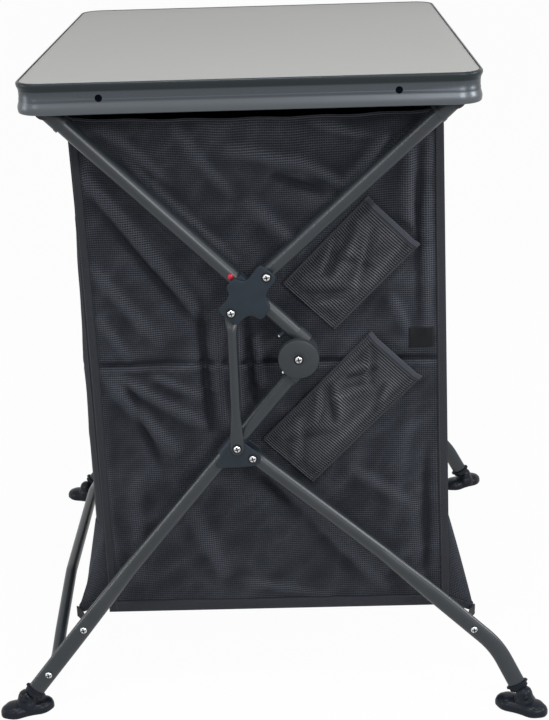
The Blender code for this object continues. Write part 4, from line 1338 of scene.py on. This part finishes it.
far_folds = [((-start[0], start[1]), (-end[0], end[1]), width, rise)
             for start, end, width, rise in near_folds]

# The ends lean: how far the back edge (1) and the front edge (-1) stand from the middle at the hem,
# and how much further out per metre of height.
edge_low = {1: 0.1947, -1: 0.2238}
edge_lean = {1: 0.0096, -1: -0.0243}
panel_width = edge_low[1] + edge_low[-1]
panel_height = box_top - box_low
panel_face = box_length / 2 - cloth / 2 - 0.0010
fold_share = 1.35
seam_rise = 0.0036
seam_width = 0.0022
seam_hollow = 0.0040
hollow_above = 0.0060
hollow_width = 0.0035
droop_depth = 0.012
droop_reach = 0.085
belly_rise = 0.006
lean_reach = 0.0045
hem_ripple = 0.0006
bow_depth = 0.0024
bow_reach = 0.06
least_out = 0.0005
# How many small creases go to the metre, and how high they stand.
crumple_rises = ((8, 0.0026), (21, 0.0022), (47, 0.0011))
fold_out = 0.0092
fold_in = 0.0110
top_hem = 0.0030
top_sag = 0.0050


def edge_line(out, z):
    return edge_low[out] + edge_lean[out] * (z - box_low)


def covered(y, z):
    """1 under a pocket and 0 away from it."""
    most = 0.0
    for length, mouth in pockets.values():
        away = Vector((0, y - mouth.y, z - mouth.z))
        down = away.dot(pocket_down)
        across = abs(away.dot(pocket_over))
        inside = smooth(min(down, length - down) + 2 * under_pocket, 0.0, under_pocket)
        most = max(most, inside * smooth(pocket_width / 2 - across + 2 * under_pocket, 0.0, under_pocket))
    return most


def crumple(y, z, seed):
    """The small creases of cloth that has been packed away: sharp lines between shallow hollows."""
    creases = 0.0
    for scale, rise in crumple_rises:
        place = Vector((y * scale * 0.7 + z * scale * 0.7, z * scale * 0.45 - y * scale * 0.45, seed + scale))
        creases += rise * (0.45 - 2.0 * abs(noise.noise(place)))
    return creases


def end_panel(side, folds):
    """How an end panel hangs: threads drawn towards the top corners, folds, a sewn line at the shelf."""
    seed = side * 3.7

    def hang(u, v):
        """u runs from the back edge to the front edge."""
        z = box_low + v
        share = u / panel_width
        y = edge_line(1, z) * (1 - share) - edge_line(-1, z) * share
        inset = min(share, 1 - share) * panel_width
        edge = smooth(inset, 0.0, 0.020) * smooth(v, 0.0, 0.03) * smooth(box_top - z, 0.0, 0.010)
        out = fold_share * sum(ridge(y, z, *fold) for fold in folds) + crumple(y, z, seed)
        out += seam_rise * math.exp(-(((z - shelf_height) / seam_width) ** 2))
        out -= seam_hollow * math.exp(-(((z - shelf_height - hollow_above) / hollow_width) ** 2))
        limit = fold_in if out < 0 else fold_out * (1 - (covered(y, z) if side < 0 else 0)) + least_out
        out = edge * limit * math.tanh(out / limit)
        droop = 0.0
        for corner in (0, 1):
            away = math.hypot((share - corner) * panel_width, z - box_top)
            droop += droop_depth * math.exp(-((away / droop_reach) ** 2)) * smooth(box_top - z, 0.0, 0.05)
        droop -= belly_rise * math.sin(math.pi * share) * smooth(z, 0.52, 0.68) * smooth(box_top - z, 0.0, 0.05)
        lean = lean_reach * edge * noise.noise(Vector((y * 6, z * 6, 5 + seed)))
        sag = top_sag * max(0.0, math.sin(math.pi * share)) ** 0.6 + hem_ripple * math.sin(y * 90 + side)
        top_wave = -sag * smooth(z, 0.60, box_top) * smooth(inset, 0.0, 0.02)
        bow = bow_depth * math.sin(math.pi * v / panel_height)
        bow *= smooth(bow_reach - share * panel_width, 0.0, bow_reach)
        return Vector((side * (panel_face + out), y + lean - bow, z + droop * edge + top_wave))

    return hang


tape_width = 0.0075
tape_wrap = 0.0030
tape_lift = 0.0002
foot_tape_width = 0.0140
for end, side in ends.items():
    hang = end_panel(side, near_folds if side < 0 else far_folds)
    panel = sewn_sheet("end_cloth_" + end, panel_width, panel_height, 120, 180, hang, mesh_cloth, "cabinet",
                       ["end_panel_" + end], flip=side > 0)
    for name, run, width, start_u, start_v, upright in (
        ("back", panel_height, tape_width + tape_wrap, -tape_wrap, 0.0, True),
        ("front", panel_height, tape_width + tape_wrap, panel_width - tape_width, 0.0, True),
        ("hem", panel_width, foot_tape_width, 0.0, 0.0, False),
        ("top", panel_width, top_hem, 0.0, panel_height - top_hem * 0.8, False),
    ):
        def lie(u, v, hang=hang, start_u=start_u, start_v=start_v, upright=upright, side=side):
            place = hang(start_u + (v if upright else u), start_v + (u if upright else v))
            return place + X * side * (cloth + tape_lift)

        tape = sewn_sheet("end_" + name + "_tape_" + end, run, width, 120 if upright else 80, 4, lie,
                          hem_tape_painted_lit if name == "top" else binding, "cabinet", thickness=0.0008,
                          flip=(side > 0) != upright)

patch_dark = new_finish("patch_dark", Specular_IOR_Level=0.2, Sheen_Weight=0.1)
flat = patch_dark.places("UV")
pile = patch_dark.grain(flat, 900.0, 2.0)
patch_dark.feed(
    Base_Color=patch_dark.colours(pile, (0.003, 0.004, 0.005), (0.008, 0.010, 0.012)),
    Roughness=0.9 - pile * 0.1,
    Normal=patch_dark.relief(pile, 0.0004),
)
patch_width = 0.030
patch_height = 0.025
patch_lift = 0.0003
patch_corner = Vector((0, -0.1790, 0.4500))
near_hang = end_panel(-1, near_folds)


def patch_place(u, v):
    place = near_hang(edge_line(1, patch_corner.z) - patch_corner.y + u, patch_corner.z + v - box_low)
    return place - X * (cloth + patch_lift)


patch = sewn_sheet("front_patch", patch_width, patch_height, 12, 12, patch_place, patch_dark, "cabinet",
                   thickness=0.0008)


# Two pockets of a coarser mesh are sewn aslant on the near end, open along their upper hems.
# They stand off the panel at the mouth, are sewn down along both sides, and wrinkle where they are slack.
pocket_wrinkles = {
    "upper_pocket": [
        ((0.018, 0.060), (0.085, 0.020), 0.0050, -0.0050), ((0.028, 0.070), (0.100, 0.050), 0.0055, 0.0045),
        ((0.060, 0.076), (0.105, 0.058), 0.0040, -0.0045), ((0.010, 0.030), (0.120, 0.034), 0.0080, 0.0030),
        ((0.004, 0.018), (0.080, 0.008), 0.0060, -0.0030), ((0.085, 0.020), (0.128, 0.060), 0.0060, 0.0035),
        ((0.050, 0.020), (0.075, 0.070), 0.0055, 0.0030), ((0.100, 0.010), (0.132, 0.040), 0.0055, -0.0035),
    ],
    "lower_pocket": [
        ((0.010, 0.074), (0.052, 0.040), 0.0042, -0.0055), ((0.022, 0.048), (0.060, 0.068), 0.0040, 0.0045),
        ((0.045, 0.034), (0.090, 0.062), 0.0048, -0.0050), ((0.075, 0.076), (0.110, 0.034), 0.0052, 0.0050),
        ((0.088, 0.078), (0.128, 0.048), 0.0045, -0.0055), ((0.110, 0.030), (0.168, 0.064), 0.0075, 0.0032),
        ((0.015, 0.020), (0.150, 0.016), 0.0065, -0.0028), ((0.030, 0.030), (0.070, 0.012), 0.0050, 0.0030),
        ((0.130, 0.070), (0.180, 0.030), 0.0060, -0.0040),
    ],
}
wrinkle_share = 1.4
pocket_gap = 0.0014
pocket_stand = 0.0040
mouth_stand = 0.0030
pocket_crumple = 0.0006
pocket_least = 0.0004
pocket_most = 0.0108
pocket_hem_lift = 0.0011
seam_lift = 0.0008
for name, (length, mouth) in pockets.items():
    wrinkles = pocket_wrinkles[name]
    face = box_length / 2 + pocket_gap

    def bulge(u, v, length=length, mouth=mouth, wrinkles=wrinkles, face=face):
        """u runs over the pocket from its back side, v from the foot of it up to the mouth."""
        down = length - v
        across = u - pocket_width / 2
        sides = smooth(pocket_width / 2 - abs(across), 0.0, 0.012)
        foot = smooth(v, 0.0, 0.016)
        out = (pocket_stand + mouth_stand * smooth(length - down, length * 0.5, length)) * sides * foot
        slack = smooth(length - v, 0.006, 0.02)
        out += wrinkle_share * sum(ridge(down, u, *wrinkle) for wrinkle in wrinkles) * sides * foot * slack
        out += pocket_crumple * noise.noise(Vector((down * 45, u * 45, length * 50))) * sides * foot
        out = max(pocket_least, min(pocket_most, out))
        place = mouth + pocket_down * down + pocket_over * across
        return Vector((-(face + out), place.y, place.z))

    sheet = sewn_sheet(name + "_cloth", pocket_width, length, 60, 100, bulge, pocket_mesh, "cabinet",
                       [name], thickness=0.0010)

    def along_mouth(u, v, length=length, bulge=bulge):
        return bulge(u, length - pocket_hem + v) - X * pocket_hem_lift

    hem = sewn_sheet(name + "_hem", pocket_width, pocket_hem, 60, 6, along_mouth, hem_tape_painted_lit, "cabinet",
                     thickness=0.0011)
    for hand, start in (("back", 0.0), ("front", pocket_width - seam_tape)):
        def along_side(u, v, start=start, bulge=bulge):
            return bulge(start + v, u) - X * seam_lift

        sewn_sheet(name + "_" + hand + "_seam", length, seam_tape, 90, 3, along_side, binding,
                                "cabinet", thickness=0.0007)


# The back is one sheet of the same mesh, and the front a frame of it round the door's opening.
# Both turn out to the rails at the top, where loops of tape carry the whole box.
half_length = box_length / 2 - cloth - 0.0010
turn_height = 0.715
hem_gap = 0.0010
wall_swell = 0.0030
wall_ripple = 0.0016
wall_crumple = 0.8
shelf_line = 0.0010
shelf_line_width = 0.003
hem_height = rail_height - tube_radius - hem_gap
corner_from = 0.2290
back_bulge = 0.0070


def wall_line(out, x, z):
    """How far the back (out 1) or the front (out -1) stands from the middle: it meets the leaning ends."""
    flat_part = box_depth / 2 - cloth / 2
    corner = smooth(abs(x), corner_from, half_length)
    if out > 0:
        flat_part += back_bulge * smooth(z, box_low, box_low + 0.06) * smooth(turn_height - z, 0.02, 0.18)
        corner = smooth(abs(x), half_length - 0.022, half_length)
    return flat_part + (edge_line(out, z) - flat_part) * corner


def wall_hang(out, amount, seed):
    """How the back or the front hangs: upright, then turned out to its rail, with a few soft folds."""
    def hang(u, v):
        x = u - half_length
        z = box_low + v
        y = wall_line(out, x, z)
        if v > turn_height - box_low:
            slant = math.hypot(rail_y - box_depth / 2, hem_height - turn_height)
            share = (v - (turn_height - box_low)) / slant
            z = turn_height + (hem_height - turn_height) * share
            y = wall_line(out, x, turn_height) * (1 - share) + rail_y * share
        inset = half_length - abs(x)
        edge = smooth(inset, 0.0, 0.02) * smooth(v, 0.0, 0.03) * smooth(turn_height - z, 0.0, 0.03)
        inwards = wall_swell * noise.noise(Vector((x * 7, z * 5, seed)))
        inwards += wall_ripple * noise.noise(Vector((x * 22, z * 9, seed)))
        inwards += wall_crumple * abs(crumple(x, z, seed)) * smooth(inset, 0.01, 0.06)
        inwards += shelf_line * math.exp(-(((z - shelf_height) / shelf_line_width) ** 2))
        for corner in (-1, 1):
            fan = math.atan2(turn_height - z, (half_length - corner * x) + 0.001)
            away = math.hypot(turn_height - z, half_length - corner * x)
            inwards += 0.0022 * math.sin(fan * 14) * smooth(away, 0.02, 0.08) * (1 - smooth(away, 0.12, 0.35))
        return Vector((x, out * (y - abs(inwards) * amount * edge), z))

    return hang


wall_height = turn_height - box_low + math.hypot(rail_y - box_depth / 2, hem_height - turn_height)
wall_width = 2 * half_length
back_hang = wall_hang(1, 1.0, 3.1)
back = sewn_sheet("back_cloth", wall_width, wall_height, 110, 150, back_hang, mesh_cloth, "cabinet",
                  ["back_panel"], flip=True)
edge_tape_width = 0.0120
for end, side in ends.items():
    def lie(u, v, side=side):
        place = back_hang(v if side < 0 else wall_width - v, u)
        return place + Y * (cloth + 0.0002) + X * side * 0.0008

    tape = sewn_sheet("back_edge_tape_" + end, turn_height - box_low, edge_tape_width, 120, 4, lie, binding,
                      "cabinet", thickness=0.0008, flip=side > 0)

door_width = 0.427
door_top = 0.698
door_low = 0.250
door_lap = 0.008
front = sewn_sheet("front_cloth", wall_width, wall_height, 110, 150, wall_hang(-1, 0.25, 8.4), mesh_cloth,
                   "cabinet", ["front_surround"])
shape = bmesh.new()
shape.from_mesh(front.data)
gap_x = door_width / 2 - door_lap
opening = []
for face in shape.faces:
    middle = face.calc_center_median()
    if abs(middle.x) < gap_x and door_low + door_lap < middle.z < door_top - door_lap:
        opening.append(face)
cut_share = 1 - sum(face.calc_area() for face in opening) / sum(face.calc_area() for face in shape.faces)
bmesh.ops.delete(shape, geom=opening, context="FACES")
shape.to_mesh(front.data)
shape.free()
wall_width * wall_height * cut_share

loop_tape = new_finish("loop_tape", Specular_IOR_Level=0.25, Sheen_Weight=0.15)
place = loop_tape.places()
loop_rib = loop_tape.node("TexWave", {"wave_type": "BANDS", "bands_direction": "X"},
                          {"Vector": place, "Scale": 180.0}, "Fac")
loop_tape.feed(
    Base_Color=loop_tape.colours(loop_rib, (0.016, 0.018, 0.022), (0.040, 0.043, 0.050)),
    Roughness=0.86 - loop_rib * 0.1,
    Normal=loop_tape.relief(loop_rib, 0.0003),
)
loop_inner = tube_radius + 0.0003
loop_outer = tube_radius + 0.0013
loop_round = 0.0004
for row, rail, out, body in (("back", back_rail, 1, "cabinet"), ("front", front_rail, -1, "front_top")):
    loops = []
    for x, half_width in ((-0.212, 0.018), (-0.075, 0.028), (0.075, 0.028), (0.212, 0.018)):
        flat_half = half_width - loop_round
        ring = [(loop_inner, -half_width), (loop_outer, -flat_half), (loop_outer, flat_half),
                (loop_inner, half_width), (loop_inner, -half_width)]
        loops.append(turned(ring, at(x, rail), X, 40))
    placed(row + "_rail_loops", merged(*loops), loop_tape, body)


# The door is a panel of the mesh with a taped edge. It hangs from its top edge in front of the
# opening, closed by a zip on either side, and is rolled up under two ties when it is open.
door_height = door_top - door_low
door_y = -box_depth / 2 - 0.0003 - cloth / 2
door_swell = 0.0040
door_ripple = 0.0020


def door_hang(u, v):
    x = u - door_width / 2
    z = door_low + v
    edge = smooth(door_width / 2 - abs(x), 0.0, 0.03)
    edge *= smooth(v, 0.0, 0.02) * smooth(door_height - v, 0.0, 0.02)
    out = door_swell * noise.noise(Vector((x * 6, z * 4, 11.0)))
    out += door_ripple * noise.noise(Vector((x * 19, z * 9, 4.0)))
    return Vector((x, door_y - (abs(out) + abs(crumple(x, z, 6.0))) * edge, z))


door = sewn_sheet("door_cloth", door_width, door_height, 100, 110, door_hang, mesh_cloth, "door",
                  ["door_panel"])
door_tape_width = 0.012
for name, run, start_u, start_v, upright in (
    ("near", door_height, 0.0, 0.0, True), ("far", door_height, door_width - door_tape_width, 0.0, True),
    ("low", door_width, 0.0, 0.0, False), ("top", door_width, 0.0, door_height - door_tape_width, False),
):
    def lie(u, v, start_u=start_u, start_v=start_v, upright=upright):
        place = door_hang(start_u + (v if upright else u), start_v + (u if upright else v))
        return place - Y * (cloth + 0.0001)

    tape = sewn_sheet("door_" + name + "_tape", run, door_tape_width, 90, 5, lie, binding, "door",
                      thickness=0.0008)

zip_tape_width = 0.014
zip_gap = 0.0006
zip_below = 0.004
zip_front = -box_depth / 2 - 0.0004
coil_front = -box_depth / 2 - 0.0014
coil_low = 0.002
coil_high = 0.004
coil_thread = 0.0007
coil_turns = 150
tab_front = 0.0007
tab_thick = 0.0009
slider_edge = 0.0005
tab_edge = 0.0003
for end, side in ends.items():
    edge = side * (door_width / 2 + zip_gap)

    def zip_place(u, v, edge=edge, side=side):
        return Vector((edge + side * v, zip_front, door_low - zip_below + u))

    zip_length = door_height + zip_below
    zip_tape = sewn_sheet("zip_tape_" + end, zip_length, zip_tape_width, 60, 4, zip_place, binding, "cabinet",
                          thickness=0.0006, flip=side < 0)
    pull_low, pull_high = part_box("zip_pull_" + end)
    middle = (pull_low + pull_high) / 2
    low = Vector((middle.x, coil_front, door_low - coil_low))
    high = Vector((middle.x, coil_front, door_top - coil_high))
    coil = []
    for step in range(coil_turns * 2 + 1):
        share = step / (coil_turns * 2)
        coil.append(low.lerp(high, share) + X * (coil_thread if step % 2 else -coil_thread))
    shape = drawn(coil, [(coil_thread, coil_thread)] * len(coil), Y, 6)
    placed("zip_coil_" + end, shape, nylon, "cabinet", sharp=80)

    # The slider's body is widest a little below its top; the pull tab lies on it and hangs below.
    foot, top = pull_low.z, pull_high.z
    body_outline = (
        (-0.0030, top - 0.0075), (0.0030, top - 0.0075), (0.0036, top - 0.0020), (0.0022, top),
        (-0.0022, top), (-0.0036, top - 0.0020),
    )
    tab_outline = (
        (-0.0019, foot + 0.0010), (-0.0010, foot), (0.0010, foot), (0.0019, foot + 0.0010),
        (0.0014, top - 0.0030), (-0.0014, top - 0.0030),
    )
    body = slab([Vector((middle.x + x, pull_low.y, z)) for x, z in body_outline],
                Y * (pull_high.y - pull_low.y), slider_edge)
    tab = slab([Vector((middle.x + x, pull_low.y - tab_front, z)) for x, z in tab_outline],
               Y * tab_thick, tab_edge)
    placed("zip_slider_" + end, merged(body, tab), zinc, "zip_" + end, ["zip_pull_" + end])

# Two ties hang down the door from its top edge, to hold it when it is rolled up.
tie_length = 0.110
tie_width = 0.020
tie_x = 0.120
tie_lift = 0.0018
tie_bow = 0.0015
tie_above = 0.004
for end, side in ends.items():
    def tie_place(u, v, side=side):
        x = side * tie_x + v - tie_width / 2
        bow = tie_bow * math.sin(math.pi * min(1.0, u / tie_length))
        return Vector((x, door_y - tie_lift - bow, door_top + tie_above - u))

    tie = sewn_sheet("roll_tie_" + end, tie_length, tie_width, 30, 6, tie_place, binding, "door",
                     thickness=0.0009, flip=True)


# Below the box a skirt of the same mesh runs from each long side out to the legs.
# Each is drawn in along its hem, closed by a gusset at either end, and taped along the bottom.
gusset_rise = 0.013
skirt_draw = 0.030
# Each skirt's side, the height it is sewn on at, how far out its hem stands, and its hem's height.
skirts = {
    "front_skirt": (-1, 0.240, 0.258, 0.0965),
    "back_skirt": (1, 0.224, 0.238, 0.1060),
}
skirt_hem = 0.012
skirt_lift = 0.0006
gusset_gap = 0.0012
gusset_tuck = 0.0025
hem_lift = 0.0010
tab_width = 0.014
tab_sag = 0.004
tab_screws = {-1: Vector((0.2890, -0.2480, 0.1030)), 1: Vector((0.2870, 0.2240, 0.1095))}
half = box_length / 2 - cloth
for name, (out, top, reach, skirt_low) in skirts.items():
    gusset_run = reach - edge_line(out, skirt_low) - gusset_gap
    drop = math.hypot(top - skirt_low, reach - skirt_draw / 2 - box_depth / 2)

    def skirt_hang(u, v, out=out, top=top, reach=reach, gusset_run=gusset_run, drop=drop,
                   skirt_low=skirt_low):
        """u runs round the hem: up one gusset's edge, along the skirt and back by the other gusset."""
        total = 2 * half + 2 * gusset_run
        share = v / drop
        if u < gusset_run:
            x, side_share = -half, u / gusset_run
        elif u > total - gusset_run:
            x, side_share = half, (total - u) / gusset_run
        else:
            x, side_share = u - gusset_run - half, 1.0
        spread = 1 - (x / half) ** 2
        hem_low = skirt_low + gusset_rise * (1 - side_share)
        z = hem_low + (top - hem_low) * share
        seat = wall_line(out, x, z) + skirt_lift
        low_seat = wall_line(out, x, skirt_low) + skirt_lift
        if side_share < 1.0:
            seat -= gusset_tuck
            low_seat -= gusset_tuck
        hem = low_seat + (reach - skirt_draw * spread - low_seat) * side_share
        y = hem + (seat - hem) * share
        if side_share >= 1.0:
            ripple = 0.0022 * math.sin(x * 70 + out) + 0.0030 * noise.noise(Vector((x * 12, z * 6, 7 + out)))
            y += ripple * (1 - share) * smooth(half - abs(x), 0.0, 0.04)
        return Vector((x, out * y, z))

    total = 2 * half + 2 * gusset_run
    skirt = sewn_sheet(name + "_cloth", total, drop, 160, 36, skirt_hang, mesh_cloth, "cabinet",
                       [name], thickness=0.0010, flip=out > 0)

    def hem_place(u, v, skirt_hang=skirt_hang, out=out, gusset_run=gusset_run, total=total):
        place = skirt_hang(u, v)
        if u < gusset_run:
            return place - X * hem_lift
        if u > total - gusset_run:
            return place + X * hem_lift
        return place + Y * out * hem_lift

    hem = sewn_sheet(name + "_hem", total, skirt_hem, 160, 5, hem_place, binding, "cabinet",
                     thickness=0.0008, flip=out > 0)

    for end, side in ends.items():
        start = skirt_hang(gusset_run if side < 0 else total - gusset_run, 0.0)
        screw_seat = Vector((side * tab_screws[out].x, tab_screws[out].y, tab_screws[out].z))

        def tab_place(u, v, start=start, screw_seat=screw_seat):
            run = (screw_seat - start).length
            place = start.lerp(screw_seat, u / run)
            return place + Z * (v - tab_width * 0.3) - Y * out * tab_sag * math.sin(math.pi * u / run)

        run = (screw_seat - start).length
        tab = sewn_sheet(name + "_tab_" + end, run, tab_width, 16, 6, tab_place, patch_dark, "cabinet",
                         thickness=0.0016)
        name + "_cloth"


# The two levels inside are stiff boards in a cloth sleeve, sewn to the box all round.
# The lower one hangs a little above the hem and the upper one half way up.
board_weave = new_finish("board_weave", Specular_IOR_Level=0.25, Sheen_Weight=0.2)
place = board_weave.places()
board_pitch = 0.0012
board_round = 0.0014
over_x, over_y, _ = board_weave.parts(place)
warp = board_weave.threads(over_x, board_pitch)
weft = board_weave.threads(over_y, board_pitch)
woven = board_weave.maths("MAXIMUM", warp, weft)
painted_fold_light_and_rub = board_weave.grain(place, 14, 3)
board_light = woven * (painted_fold_light_and_rub * 0.6 + 0.4)
board_weave.feed(
    Base_Color=board_weave.colours(board_light, (0.010, 0.011, 0.013), (0.034, 0.036, 0.041)),
    Roughness=0.88 - woven * 0.12,
    Normal=board_weave.relief(woven, 0.0002),
)
for name, node in (("floor_insert", "floor_board"), ("shelf_insert", "middle_shelf")):
    low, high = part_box(node)
    ring = ((low.x, low.y), (high.x, low.y), (high.x, high.y), (low.x, high.y))
    insert = slab([Vector((x, y, low.z)) for x, y in ring], Z * (high.z - low.z), board_round)
    long_edges = [edge for edge in insert.edges if edge.calc_length() > 0.2]
    bmesh.ops.subdivide_edges(insert, edges=long_edges, cuts=24, use_grid_fill=True)
    for vert in insert.verts:
        sag = 0.0008 * noise.noise(Vector((vert.co.x * 9, vert.co.y * 9, low.z)))
        vert.co.z += sag * smooth(0.2 - abs(vert.co.y), 0.0, 0.03) * smooth(0.24 - abs(vert.co.x), 0.0, 0.03)
    placed(name, insert, board_weave, "cabinet", [node])


# Each piece of the cloth box, apart from the rail loops, gets its own copy of its mesh.
for piece in list(bpy.context.scene.objects):
    if piece not in frame_pieces and not piece.name.endswith("rail_loops"):
        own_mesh(piece)
